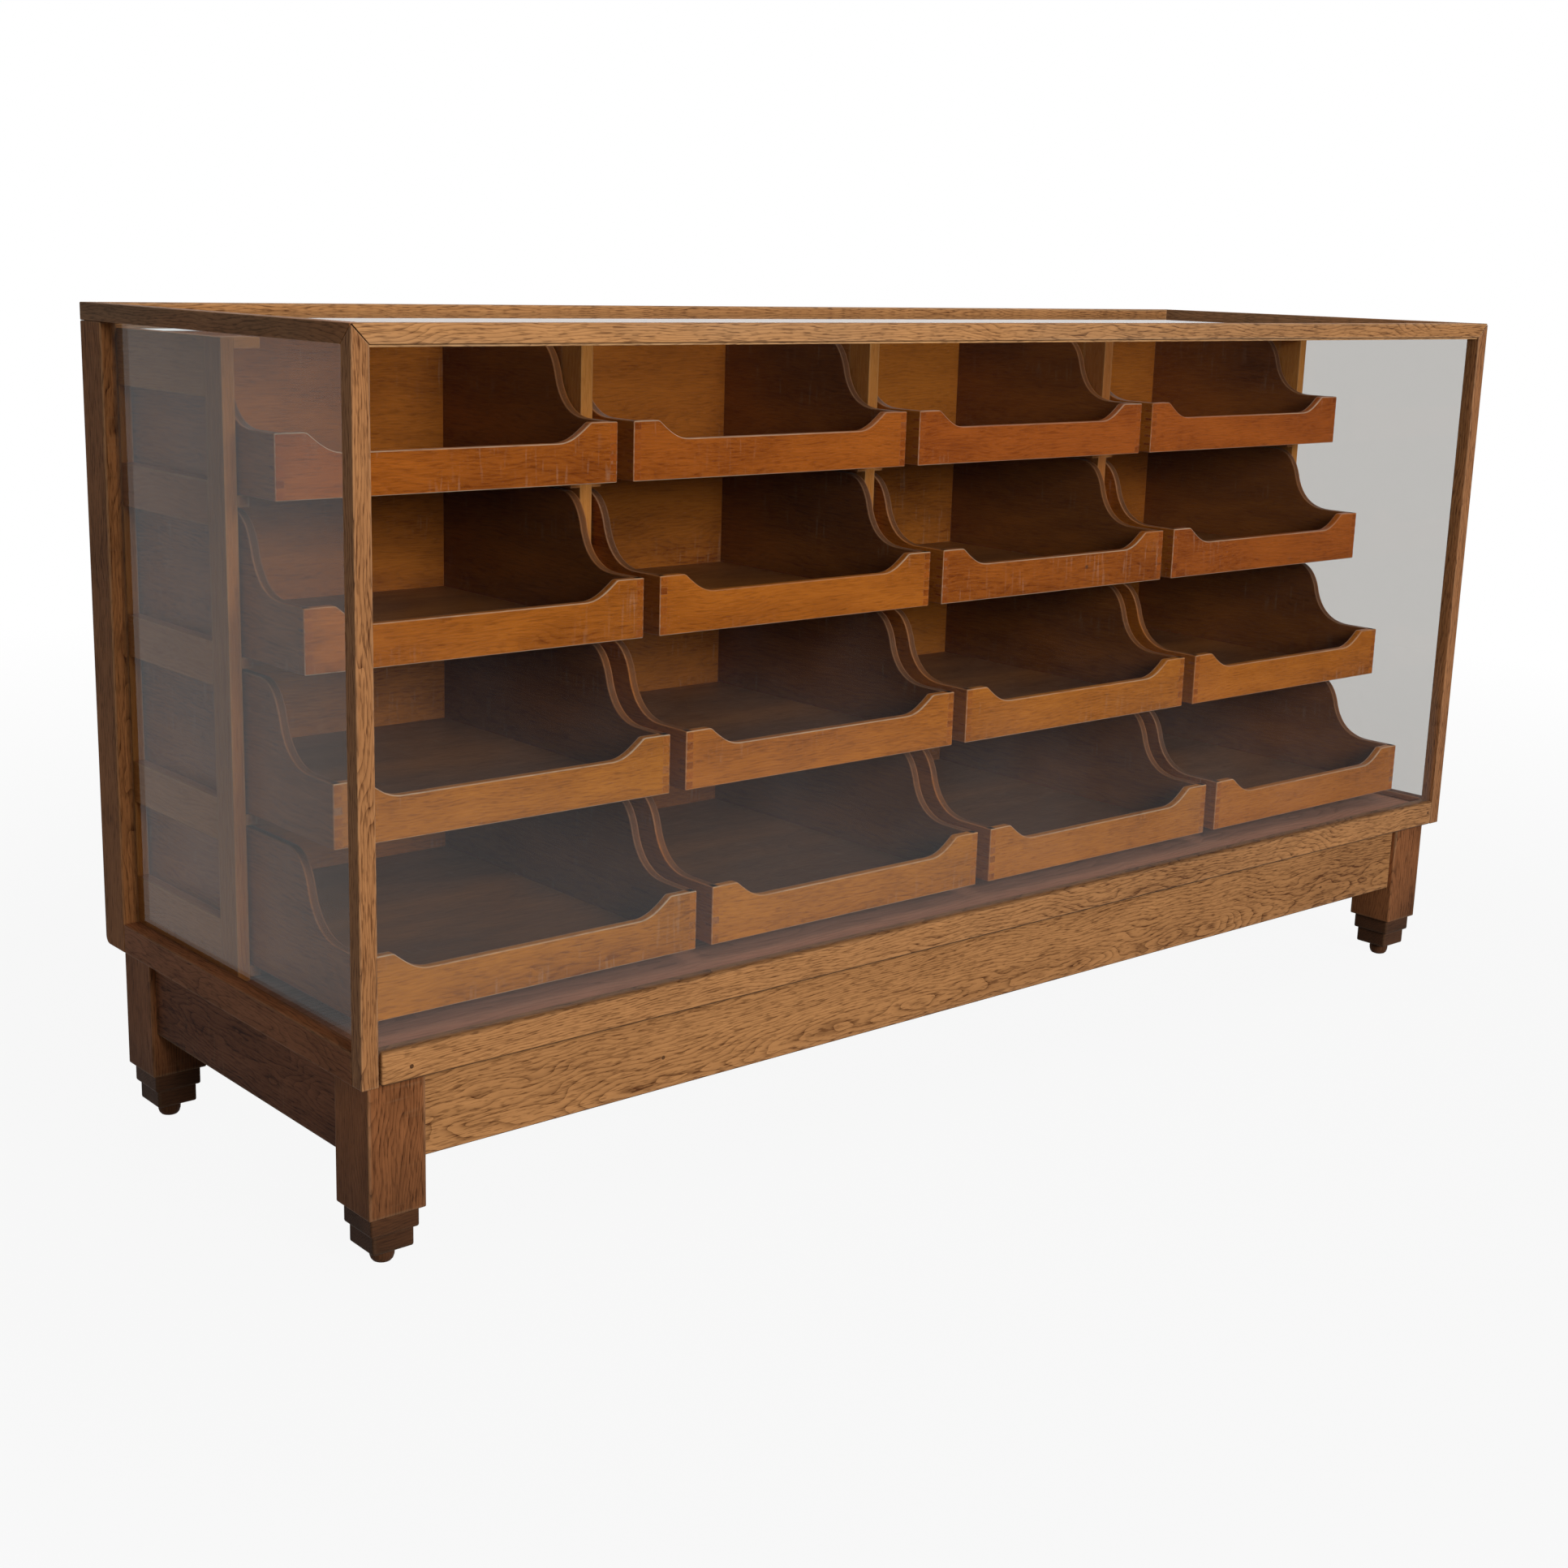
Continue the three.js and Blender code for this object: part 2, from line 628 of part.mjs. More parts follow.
// Its back panel laps over the edges of the carcass at the back, which stops the drawer there.
function drawerBox(row, column) {
  const x = drawerLeft(column);
  const y = drawerFront(row);
  const z = drawerBottom(row);
  const length = REAR_FRONT + OVERRUN - y;
  const innerBack = REAR_FRONT - BACK_TONGUE;
  const right = x + DRAWER_WIDTH;
  const shifted = (outline, dx, dy) => outline.map(([a, b]) => [a + dx, b + dy]);
  const side = shifted(sideOutline(length), y, z);
  return joined([
    alongY(shifted(frontOutline(), x, z), y, y + DRAWER_FRONT_THICKNESS),
    alongX(side, x, x + DRAWER_SIDE_THICKNESS),
    alongX(side, right - DRAWER_SIDE_THICKNESS, right),
    block(x, right, innerBack, REAR_FRONT + OVERRUN, z, drawerTop(row)),
    block(lipLeft(column), lipRight(column), REAR_FRONT, BACK, drawerTop(row) - LIP_HEIGHT, drawerTop(row)),
    block(
      x + OVERRUN,
      right - OVERRUN,
      y + OVERRUN,
      innerBack + OVERRUN,
      z + DRAWER_BOTTOM_RISE,
      z + DRAWER_BOTTOM_RISE + DRAWER_BOTTOM_THICKNESS,
    ),
  ]);
}

// Knob: a turned brass knob with a rose, standing out of the drawer's back panel.
function knobBody() {
  const profile = [
    [0, JOINT_GAP],
    [KNOB_ROSE_RADIUS, JOINT_GAP],
    [KNOB_ROSE_RADIUS, KNOB_ROSE_THICKNESS],
    [KNOB_NECK_RADIUS, KNOB_ROSE_THICKNESS + KNOB_ROSE_THICKNESS / 2],
    [KNOB_NECK_RADIUS, KNOB_PROJECTION * KNOB_NECK_END_SHARE],
    ...KNOB_HEAD_SHARES.map(([r, y]) => [r * KNOB_RADIUS, y * KNOB_PROJECTION]),
  ];
  const points = profile.map(([r, z]) => new THREE.Vector2(r, z));
  return solid(new THREE.LatheGeometry(points, KNOB_SEGMENTS));
}
const knob = knobBody();
for (const row of rowNumbers) {
  for (const column of columnNumbers) {
    const label = `row${row}_col${column}`;
    place(`drawer_${label}`, drawerBox(row, column), drawerWood);
    const centre = [
      drawerLeft(column) + DRAWER_WIDTH / 2,
      BACK,
      drawerTop(row) - LIP_HEIGHT / 2,
    ];
    place(`knob_${label}`, knob.translate(centre), brass);
  }
}

export default root;
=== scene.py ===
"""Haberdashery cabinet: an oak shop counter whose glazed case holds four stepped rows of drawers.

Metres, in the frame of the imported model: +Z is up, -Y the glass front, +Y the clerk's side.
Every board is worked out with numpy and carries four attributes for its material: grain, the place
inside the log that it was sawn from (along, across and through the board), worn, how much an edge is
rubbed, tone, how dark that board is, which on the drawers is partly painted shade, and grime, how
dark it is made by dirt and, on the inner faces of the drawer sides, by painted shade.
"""

import math

import bpy
import numpy as np
from mathutils import Matrix


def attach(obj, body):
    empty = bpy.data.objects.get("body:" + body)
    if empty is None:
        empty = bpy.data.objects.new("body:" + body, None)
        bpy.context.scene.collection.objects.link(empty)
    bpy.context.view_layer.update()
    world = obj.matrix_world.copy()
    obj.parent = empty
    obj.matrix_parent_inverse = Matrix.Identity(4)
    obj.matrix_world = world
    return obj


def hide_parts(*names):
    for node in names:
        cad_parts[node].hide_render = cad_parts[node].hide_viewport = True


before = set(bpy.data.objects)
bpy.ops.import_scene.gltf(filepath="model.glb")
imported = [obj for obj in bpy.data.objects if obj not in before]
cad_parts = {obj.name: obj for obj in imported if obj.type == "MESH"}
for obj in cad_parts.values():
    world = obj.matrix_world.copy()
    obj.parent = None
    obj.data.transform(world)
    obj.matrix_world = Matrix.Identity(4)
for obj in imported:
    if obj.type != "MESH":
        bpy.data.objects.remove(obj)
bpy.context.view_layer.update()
MM = 0.001
random = np.random.default_rng(1926)

# Sizes repeated from the solids: the case and the play in its joints
CASE_LEFT, CASE_RIGHT = -0.9, 0.9
CASE_FRONT, CASE_BACK = -0.296, 0.274
CASE_BOTTOM, CASE_TOP = 0.204, 0.92
STOCK = 19 * MM
JOINT = 0.3 * MM
MITRE = JOINT / math.sqrt(2)
INNER_LEFT = CASE_LEFT + STOCK + JOINT
TOP_RAIL_BOTTOM = CASE_TOP - STOCK
TRAY_TOP = CASE_BOTTOM + 34 * MM
TRAY_END_GAP = 3 * MM
FLOOR_TOP = CASE_BOTTOM + 26 * MM
FLOOR_BOARDS = 3
BACK_POST_FRONT = CASE_BACK - 49 * MM
POST_FOOT_RADIUS = 9 * MM
LIP_THICKNESS = 18 * MM
REAR_FRONT = CASE_BACK - LIP_THICKNESS

# The legs and aprons
LEG_SIDE = 65 * MM
LEG_INSET = 15 * MM
LEG_TOP = CASE_BOTTOM - JOINT
LEG_SHOULDER = 60 * MM
STEP_HEIGHT = 21 * MM
STEP_INSETS, STEP_GRIME = (5 * MM, 9 * MM), (0.45, 0.35)
APRON_BOTTOM = 112 * MM
APRON_THICKNESS = 18 * MM
APRON_SETBACK = 21 * MM
APRON_END = -CASE_LEFT - LEG_INSET - LEG_SIDE - JOINT

# The drawer frames that stand in the case
ROWS = COLUMNS = (1, 2, 3, 4)
DIVIDER = 16.2 * MM
END_FRAME = 14 * MM
BAY = (-2 * INNER_LEFT - 2 * END_FRAME - (len(COLUMNS) - 1) * DIVIDER) / len(COLUMNS)
BAY_PITCH = BAY + DIVIDER
CARCASS_FRONT, CARCASS_BACK = CASE_FRONT + 285 * MM, REAR_FRONT - JOINT
CARCASS_BOTTOM, CARCASS_TOP = FLOOR_TOP + JOINT, CASE_TOP - 25 * MM
STILE_FRONT, STILE_REAR = 37 * MM, 30 * MM
FOOT_RAIL, ROW_RAIL, HEAD_RAIL = 61 * MM, 46 * MM, 60 * MM
ROW_RAIL_RISE = 12 * MM
RUNNER_WIDTH, RUNNER_HEIGHT = 13 * MM, 12 * MM
RUNNER_GAP = 0.7 * MM
CLEAT_REACH, CLEAT_HEIGHT = 43 * MM, 11 * MM

# The drawers
ROW_PITCH = 164.6 * MM
DRAWER_PLAY = 3 * MM
DRAWER_WIDTH = BAY - 2 * DRAWER_PLAY
DRAWER_HEIGHT = 149 * MM
FRONT_HEIGHT = 66.3 * MM
FRONT_THICKNESS = 11 * MM
SIDE_THICKNESS = 10 * MM
BOTTOM_THICKNESS, BOTTOM_RISE = 5 * MM, 3 * MM
BACK_TONGUE = 4 * MM
LIP_GAP = 3 * MM
LOWEST_ROW_RISE = 16.7 * MM
LOWEST_ROW_SETBACK, ROW_SETBACK = 58 * MM, 51.3 * MM
CURVE_STEPS = 12

# Trim that the solids leave out, and how far one board reaches into the next so that no gap shows
PUTTY_SETBACK, PUTTY_THICKNESS, PUTTY_HEIGHT = 2.8 * MM, 2 * MM, 2.2 * MM
PLUG_RADIUS, PLUG_PROUD, PLUG_LENGTH = 2.2 * MM, 0.15 * MM, 1 * MM
TRAY_RAIL_PLUGS = ((-0.845, 0.218), (0.872, 0.222))
APRON_PLUG = (-0.52, 0.148)
KNOT_DRAWER, KNOT_PLACE, KNOT_RADIUS = (2, 3), (0.2755, 0.6035), 2.6 * MM
OVERLAP = 1 * MM


def bay_left(column):
    """X of a bay's left side: the end frame's inner face, and a pitch for each bay before it."""
    return INNER_LEFT + END_FRAME + (column - 1) * BAY_PITCH


def drawer_left(column):
    """X of a drawer's left side: its bay's side and the play beside the drawer."""
    return bay_left(column) + DRAWER_PLAY


def drawer_bottom(row):
    """Z of a drawer's underside: the lowest row's, and a pitch for each row below this one."""
    return FLOOR_TOP + LOWEST_ROW_RISE + (ROWS[-1] - row) * ROW_PITCH


def drawer_front(row):
    """Y of a drawer's front: the lowest row's, and a step back for each row below this one."""
    return CASE_FRONT + LOWEST_ROW_SETBACK + (ROWS[-1] - row) * ROW_SETBACK


# Boards


def log_place(grain_axis, sawn, tone, grime_and_shade):
    """Where in its log a board was sawn: through the heart's side for a flat-sawn board, whose
    rings make arches, out along the radius for a quarter-sawn one, whose rings run straight, or
    between the two for a rift-sawn one. All three places are drawn every time, so that a board
    that changes from one to another leaves the figure of the next boards as it is."""
    along = random.uniform(-0.5, 0.5)
    across, through = {
        "flat": (random.uniform(-0.02, 0.02), random.uniform(0.03, 0.06)),
        "rift": (random.uniform(0.05, 0.08), random.uniform(0.05, 0.08)),
        "quarter": (random.uniform(0.08, 0.12), random.uniform(0.0, 0.02)),
    }[sawn]
    return {
        "axis": grain_axis,
        "offset": (along, across, through),
        "tone": random.uniform(0, 1) if tone is None else tone,
        "grime_and_shade": grime_and_shade,
    }


def sawn_board(points, quads, caps, worn, flat, middle, log):
    """One board's arrays with its log coordinates: the place along the grain, then the two
    across it, each less the board's middle and plus its offset in the log. caps are the outlines
    of its closing faces, and flat says which quads are shaded flat."""
    axis = log["axis"]
    order = [axis, (axis + 1) % 3, (axis + 2) % 3]
    grain = (points - middle)[:, order] + np.array(log["offset"])
    count = len(points)
    return {
        "points": points,
        "quads": quads,
        "caps": caps,
        "worn": worn,
        "flat": flat,
        "grain": grain,
        "tone": np.full(count, log["tone"]),
        "grime_and_shade": np.full(count, float(log["grime_and_shade"])),
    }


def face_cuts(length, edge, band):
    """Cuts across one side of a block: its end, two on the rounded edge and the worn band's, and
    the same from the other end, less those that would come near the middle."""
    near = np.array([0, 0.4 * edge, edge, band])
    near = near[near < 0.49 * length]
    return np.concatenate([near, length - near[::-1]])


def block(low, high, axis=0, edge=0.8, band=3.0, sawn="rift", tone=None, grime_and_shade=0.0, wear=0.0,
          rub=1.0, dark_rims=(0.0, 0.0), corners=None):
    """A planed bar with rounded edges: each point of a box's gridded faces is drawn back to the
    box smaller by the edge radius, then pushed out by that radius along the line between them.
    The result fills eight corners by weighing each corner with the point's share of the way to it,
    so a bar can end in a mitre. axis is the way of the grain, edge the rounding's radius and band
    the worn strip's width, both in mm. wear is how rubbed its faces are, at one end or at both, rub
    how rubbed its edges are, and foul how much darker its lower and upper edges are."""
    low, high = np.array(low, float), np.array(high, float)
    size = high - low
    edge = min(edge * MM, 0.3 * size.min())
    cuts = [face_cuts(n, edge, band * MM) for n in size]
    points, quads, count = [], [], 0
    for k in range(3):
        i, j = (k + 1) % 3, (k + 2) % 3
        u, v = np.meshgrid(cuts[i], cuts[j], indexing="ij")
        index = np.arange(u.size).reshape(u.shape)
        ring = np.stack([index[:-1, :-1], index[1:, :-1], index[1:, 1:], index[:-1, 1:]], -1)
        for end, turn in ((0.0, -1), (size[k], 1)):
            side = np.empty((u.size, 3))
            side[:, k], side[:, i], side[:, j] = end, u.ravel(), v.ravel()
            points.append(side)
            quads.append(ring.reshape(-1, 4)[:, ::turn] + count)
            count += u.size
    points, quads = np.concatenate(points), np.concatenate(quads)
    # The six faces become one skin: points that agree to a ten-millionth of a metre are one
    keys = np.round(points * 1e7).astype(np.int64)
    first, where = np.unique(keys, axis=0, return_index=True, return_inverse=True)[1:]
    points, quads = points[first], where.reshape(-1)[quads]
    near_ends = (np.minimum(points, size - points) <= edge * 1.001).sum(1)
    core = np.clip(points, edge, size - edge)
    lean = points - core
    bent = (np.abs(lean) > 1e-9).sum(1) > 1
    points = core + lean / np.linalg.norm(lean, axis=1, keepdims=True) * edge
    middle = (low + high) / 2
    log = log_place(axis, sawn, tone, grime_and_shade)
    flat = ~bent[quads].any(1)
    along = points[:, axis] / size[axis]
    worn = np.where(near_ends > 1, rub, np.interp(along, [0, 1], np.broadcast_to(wear, 2)))
    rims = points[:, 2] < 0.9 * edge, points[:, 2] > size[2] - 0.9 * edge
    board = sawn_board(points + low, quads, [], worn, flat, middle, log)
    rubbed_where_dark = 0.3
    # The lower and upper edges are darkened toward the dirt colour, and rubbed less there
    for rim, darkening in zip(rims, dark_rims):
        board["grime_and_shade"] += np.where(rim, darkening, 0)
        board["worn"] = board["worn"] * np.where(rim & (darkening > 0), rubbed_where_dark, 1)
    if corners is not None:
        share = points / size
        weights = [np.stack([1 - share[:, n], share[:, n]], 1) for n in range(3)]
        board["points"] = np.einsum("pi,pj,pk,ijkc->pc", *weights, corners)
    return board


def box_corners(low, high):
    """The eight corners of a box as an array of 2 by 2 by 2 points."""
    ends = np.array([low, high], float)
    grid = np.meshgrid(ends[:, 0], ends[:, 1], ends[:, 2], indexing="ij")
    return np.stack(grid, -1)


def softened(outline, edge):
    """An outline with each sharp corner replaced by five points, the worn band's end on either
    side and three on the rounding, and which of its points are rubbed."""
    sharp_cosine = 0.6
    band = 2.2 * edge
    before = outline - np.roll(outline, 1, 0)
    after = np.roll(outline, -1, 0) - outline
    before /= np.linalg.norm(before, axis=1, keepdims=True)
    after /= np.linalg.norm(after, axis=1, keepdims=True)
    sharp = (before * after).sum(1) < sharp_cosine
    cut = -0.3 * edge * (before - after)
    steps = [-band * before, -edge * before, cut, edge * after, band * after]
    rounded = outline[:, None] + np.stack(steps, 1)
    rounded[~sharp, 2] = outline[~sharp]
    keep = np.repeat(sharp[:, None], 5, 1)
    keep[:, 2] = True
    worn = np.array([0.0, 1, 1, 1, 0]) * sharp[:, None]
    return rounded[keep], worn[keep]


def cut_board(outline, start, thickness, across, axis, edge=1.0, sawn="rift", tone=None,
              grime_and_shade=0.0, rim=0.0, rub=1.0, inner=(0, 0)):
    """A board sawn to an outline: the outline is carried through the thickness as rings, set in
    at both faces along a quarter round, and each face is closed by its last ring. across is the
    direction of the thickness, 0 for X and 1 for Y; the outline is in the other one and Z.
    rub is how rubbed its edges are, rim how much darker its sawn edge is, and inner how much darker
    its first and its last face are, which on the drawer sides is dust and painted shade."""
    edge *= MM
    outline, worn = softened(np.array(outline, float), edge)
    ahead = np.roll(outline, -1, 0) - outline
    ahead /= np.linalg.norm(ahead, axis=1, keepdims=True)
    inward = np.stack([-ahead[:, 1], ahead[:, 0]], 1)
    behind = np.roll(inward, 1, 0)
    mitre = (inward + behind) / (1 + (inward * behind).sum(1, keepdims=True))
    band = 2.5 * edge
    insets = np.array([1, 0.3, 0, 0, 0, 0, 0.3, 1]) * 0.9 * edge
    depths = np.array([0, 0.3 * edge, edge, band])
    depths = np.concatenate([depths, thickness - depths[::-1]])
    ring_worn = np.array([1.0, 1, 1, 0, 0, 1, 1, 1])
    ring_rim = np.array([0, 0, 0, 1, 1, 0, 0, 0])
    rings = outline[None] + mitre[None] * insets[:, None, None]
    count, around = len(depths), len(outline)
    depth = np.repeat(depths[:, None], around, 1)
    points = np.empty((count, around, 3))
    points[..., across] = start + depth
    points[..., 1 - across] = rings[..., 0]
    points[..., 2] = rings[..., 1]
    index = np.arange(count * around).reshape(count, around)
    after = np.roll(index, -1, 1)
    quads = np.stack([index[:-1], after[:-1], after[1:], index[1:]], -1).reshape(-1, 4)
    caps = [index[0][::-1], index[-1]]
    if across == 1:
        quads, caps = quads[:, ::-1], [cap[::-1] for cap in caps]
    points = points.reshape(-1, 3)
    worn = np.maximum(ring_worn[:, None], worn[None]).ravel() * rub
    middle = (points.min(0) + points.max(0)) / 2
    log = log_place(axis, sawn, tone, grime_and_shade)
    board = sawn_board(points, quads, caps, worn, np.zeros(len(quads), bool), middle, log)
    darkening = ring_rim * rim + np.interp(np.arange(count), [1, count - 2], inner)
    board["grime_and_shade"] += np.repeat(darkening, around)
    return board


def turned(profile, centre, upright=True, grime_and_shade=0.0):
    """A turned form: the profile of radius and height in mm goes round an axis through centre,
    which is upright or points to the back. Its first and last ring are closed by a face."""
    sides = 40
    profile = np.array(profile, float) * MM
    angle = np.linspace(0, 2 * np.pi, sides, endpoint=False)
    radius, height = profile[:, :1], np.repeat(profile[:, 1:], sides, 1)
    wide, deep = radius * np.cos(angle), radius * np.sin(angle)
    parts = (wide, deep, height) if upright else (wide, height, -deep)
    points = np.stack(parts, -1).reshape(-1, 3) + np.array(centre)
    index = np.arange(len(points)).reshape(len(profile), sides)
    after = np.roll(index, -1, 1)
    quads = np.stack([index[:-1], after[:-1], after[1:], index[1:]], -1).reshape(-1, 4)
    caps = [index[0][::-1], index[-1]]
    log = {"axis": 2, "offset": (0, 0.02, 0.02), "tone": 0.5, "grime_and_shade": grime_and_shade}
    worn, flat = np.zeros(len(points)), np.zeros(len(quads), bool)
    return sawn_board(points, quads, caps, worn, flat, np.array(centre), log)


def plug(x, y, z, radius):
    """A round wooden plug over a screw, or a knot: a circle cut through a short length, a hair
    proud of the face at y and dark with old wax."""
    angle = np.linspace(0, 2 * np.pi, 14, endpoint=False)[::-1]
    outline = np.stack([x + radius * np.cos(angle), z + radius * np.sin(angle)], 1)
    return cut_board(outline, y - PLUG_PROUD, PLUG_LENGTH, 1, 1, edge=0.1, tone=1.0, grime_and_shade=0.8)


def make_piece(name, boards, material, body, slot, *nodes):
    """Joins boards into one piece that rides on a body and stands for the named solids."""
    starts = np.cumsum([0] + [len(b["points"]) for b in boards[:-1]])
    points = np.concatenate([b["points"] for b in boards])
    quads = np.concatenate([b["quads"] + s for b, s in zip(boards, starts)])
    caps = [cap + s for b, s in zip(boards, starts) for cap in b["caps"]]
    corners = np.concatenate([quads.ravel(), *caps])
    sizes = np.array([4] * len(quads) + [len(cap) for cap in caps])
    mesh = bpy.data.meshes.new(name)
    mesh.vertices.add(len(points))
    mesh.vertices.foreach_set("co", points.ravel())
    mesh.loops.add(len(corners))
    mesh.loops.foreach_set("vertex_index", corners)
    mesh.polygons.add(len(sizes))
    mesh.polygons.foreach_set("loop_start", np.concatenate([[0], np.cumsum(sizes)[:-1]]))
    mesh.update(calc_edges=True)
    flat = np.concatenate([b["flat"] for b in boards] + [np.ones(len(caps), bool)])
    on_cap = np.repeat(np.arange(len(sizes)) >= len(quads), sizes)
    worn = np.concatenate([b["worn"] for b in boards])[corners] * ~on_cap
    values = {
        "grain": ("FLOAT_VECTOR", "POINT", "vector", np.concatenate([b["grain"] for b in boards])),
        "worn": ("FLOAT", "CORNER", "value", worn),
        "tone": ("FLOAT", "POINT", "value", np.concatenate([b["tone"] for b in boards])),
        "grime_and_shade": ("FLOAT", "POINT", "value", np.concatenate([b["grime_and_shade"] for b in boards])),
        "sharp_face": ("BOOLEAN", "FACE", "value", flat),
    }
    for label, (kind, domain, key, data) in values.items():
        layer = mesh.attributes.get(label) or mesh.attributes.new(label, kind, domain)
        layer.data.foreach_set(key, data.ravel())
    mesh.validate()
    mesh.materials.append(material)
    piece = bpy.data.objects.new(name, mesh)
    bpy.context.scene.collection.objects.link(piece)
    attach(piece, body)
    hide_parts(*nodes)


# Materials


def linear(code):
    """An sRGB hex colour as linear red, green, blue and alpha."""
    parts = [int(code[i : i + 2], 16) / 255 for i in (1, 3, 5)]
    return (*[p / 12.92 if p <= 0.04045 else ((p + 0.055) / 1.055) ** 2.4 for p in parts], 1.0)


def add(tree, kind, inputs=(), give=None, **settings):
    """Adds a node with its settings, sets or links its inputs and gives one of its outputs."""
    made = tree.nodes.new("ShaderNode" + kind)
    for key, value in settings.items():
        setattr(made, key, value)
    for key, value in dict(inputs).items():
        if isinstance(value, bpy.types.NodeSocket):
            tree.links.new(value, made.inputs[key])
        else:
            made.inputs[key].default_value = value
    return made.outputs[give] if give else next((o for o in made.outputs if o.enabled), None)


def new_material(name):
    """An empty material and its node tree."""
    material = bpy.data.materials.new(name)
    material.use_nodes = True
    material.node_tree.nodes.clear()
    return material, material.node_tree


# Sockets of a Mix node that blends two colours
FACTOR, FIRST, SECOND = 0, 6, 7

# Sizes of the noise in wood, along and across the grain, in mm. A real pore is 0.2 mm wide and a
# real fibre much less. They are drawn 1.5 and 3 mm wide, the least that shows.
SWAY = (181.8, 52.63)
FIBRE = (45.45, 3.03)
PORE = (13.333, 1.5625)
PATCH = (454.5, 125)
BLOT = (62.5, 18.18)
# Scrapes run across the grain, up to 45 mm long and 4 mm wide
SCRAPE = (4.348, 45.45)
# How far the sway of the grain moves a ring
SWAY_REACH = 40 * MM


def wood(name, light, dark, worn, darkening, ring=4.5, taper=0.06, rings=0.5, fibres=0.2, pores=0.4,
         patches=0.5, blots=0.3, rubbed=0.8, scuffs=0.0, rough=(0.45, 0.6), level=0.1, coat=0.0,
         shift=0.35, redder=0.005, floor_shade=0.0, relief=0.3):
    """Wood seen as a cut through its log. A point's distance from the heart, with the length
    counted in by the small share taper so that flat-sawn boards show arches, is bent by slow
    noise and divided by the ring width in mm; each ring starts with a dark line that fades.
    Fibres and pores are noise stretched along the grain, patches and blots slower noise. Edges show
    the worn colour as far as they are rubbed, and faces where scuffs scrape them. Each board's tone
    makes it darker and redder, and footed is painted shade that darkens it near the floor.
    level is how strong the gloss is, low because old wax and shellac have gone dull."""
    material, tree = new_material(name)
    grain = add(tree, "Attribute", give="Vector", attribute_name="grain")
    edge = add(tree, "Attribute", give="Fac", attribute_name="worn")
    tone = add(tree, "Attribute", give="Fac", attribute_name="tone")
    grime_and_shade = add(tree, "Attribute", give="Fac", attribute_name="grime_and_shade")

    def noise(size, **more):
        """Noise whose grains have the given length and width in mm."""
        along, across = 1 / (size[0] * MM), 1 / (size[1] * MM)
        place = add(tree, "Mapping", {"Vector": grain, "Scale": (along, across, across)})
        return add(tree, "TexNoise", {"Vector": place, "Scale": 1.0, **more})

    def sum_of(total, part, weight):
        """The total so far and the part times its weight."""
        return add(tree, "Math", {0: part, 1: weight, 2: total}, operation="MULTIPLY_ADD")

    # The figure: how dark each place is, as a depth from 0 to 1
    sway = noise(SWAY, Detail=2.5, Roughness=0.5)
    fibre = noise(FIBRE, Detail=3.0, Roughness=0.6)
    pore = noise(PORE, Detail=1.0)
    patch = noise(PATCH, Detail=3.0, Roughness=0.6)
    blot = noise(BLOT, Detail=4.0, Roughness=0.65)
    cone = add(tree, "VectorMath", {0: grain, 1: (taper, 1, 1)}, operation="MULTIPLY")
    radius = add(tree, "VectorMath", {0: cone}, give="Value", operation="LENGTH")
    bent = sum_of(radius, sway, SWAY_REACH)
    turns = add(tree, "Math", {0: bent, 1: ring * MM}, operation="DIVIDE")
    saw = add(tree, "Math", {0: turns}, operation="FRACT")
    fade = add(tree, "Math", {0: 1.0, 1: saw}, operation="SUBTRACT")
    early = add(tree, "Math", {0: fade, 1: 4.0}, operation="POWER")
    broken = add(tree, "MapRange", {"Value": fibre, "From Min": 0.3, "From Max": 0.5,
                                    "To Min": 0.55})
    early = add(tree, "Math", {0: early, 1: broken}, operation="MULTIPLY")
    holes = add(tree, "MapRange", {"Value": pore, "From Min": 0.52, "From Max": 0.66})
    streak = add(tree, "Math", {0: fibre, 1: 0.5}, operation="SUBTRACT")
    cloud = add(tree, "Math", {0: patch, 1: 0.5}, operation="SUBTRACT")
    stain = add(tree, "Math", {0: blot, 1: 0.5}, operation="SUBTRACT")
    # Plain wood lies at 0.3, and each part of the figure moves it by its own weight
    depth = sum_of(0.3, early, 0.9 * rings)
    depth = sum_of(depth, holes, pores)
    depth = sum_of(depth, streak, 2 * fibres)
    depth = sum_of(depth, cloud, 2 * patches)
    depth = sum_of(depth, stain, 2 * blots)
    depth = add(tree, "Clamp", {"Value": depth})
    colour = add(tree, "Mix", {FACTOR: depth, FIRST: linear(light), SECOND: linear(dark)},
                 data_type="RGBA")
    value = add(tree, "MapRange", {"Value": tone, "To Min": 1 + shift / 2, "To Max": 1 - shift / 2})
    hue = add(tree, "MapRange", {"Value": tone, "To Min": 0.5 + redder, "To Max": 0.5 - redder})
    colour = add(tree, "HueSaturation", {"Color": colour, "Value": value, "Hue": hue})

    # Rubbed edges and scraped faces, which keep some of the figure
    chips = add(tree, "MapRange", {"Value": patch, "From Min": 0.38, "From Max": 0.62,
                                   "To Min": 0.15 * rubbed, "To Max": rubbed})
    bare = add(tree, "Math", {0: edge, 1: chips}, operation="MULTIPLY")
    if scuffs:
        scrape = noise(SCRAPE, Detail=1.0)
        scrape = add(tree, "MapRange", {"Value": scrape, "From Min": 0.6, "From Max": 0.78,
                                        "To Max": scuffs})
        where = add(tree, "MapRange", {"Value": patch, "From Min": 0.47, "From Max": 0.57})
        scrape = add(tree, "Math", {0: scrape, 1: where}, operation="MULTIPLY")
        bare = add(tree, "Math", {0: bare, 1: scrape}, operation="MAXIMUM")
    kept = add(tree, "Math", {0: depth, 1: 0.6}, operation="MULTIPLY")
    pale = add(tree, "Mix", {FACTOR: kept, FIRST: linear(worn), SECOND: linear(dark)},
               data_type="RGBA")
    colour = add(tree, "Mix", {FACTOR: bare, FIRST: colour, SECOND: pale}, data_type="RGBA")
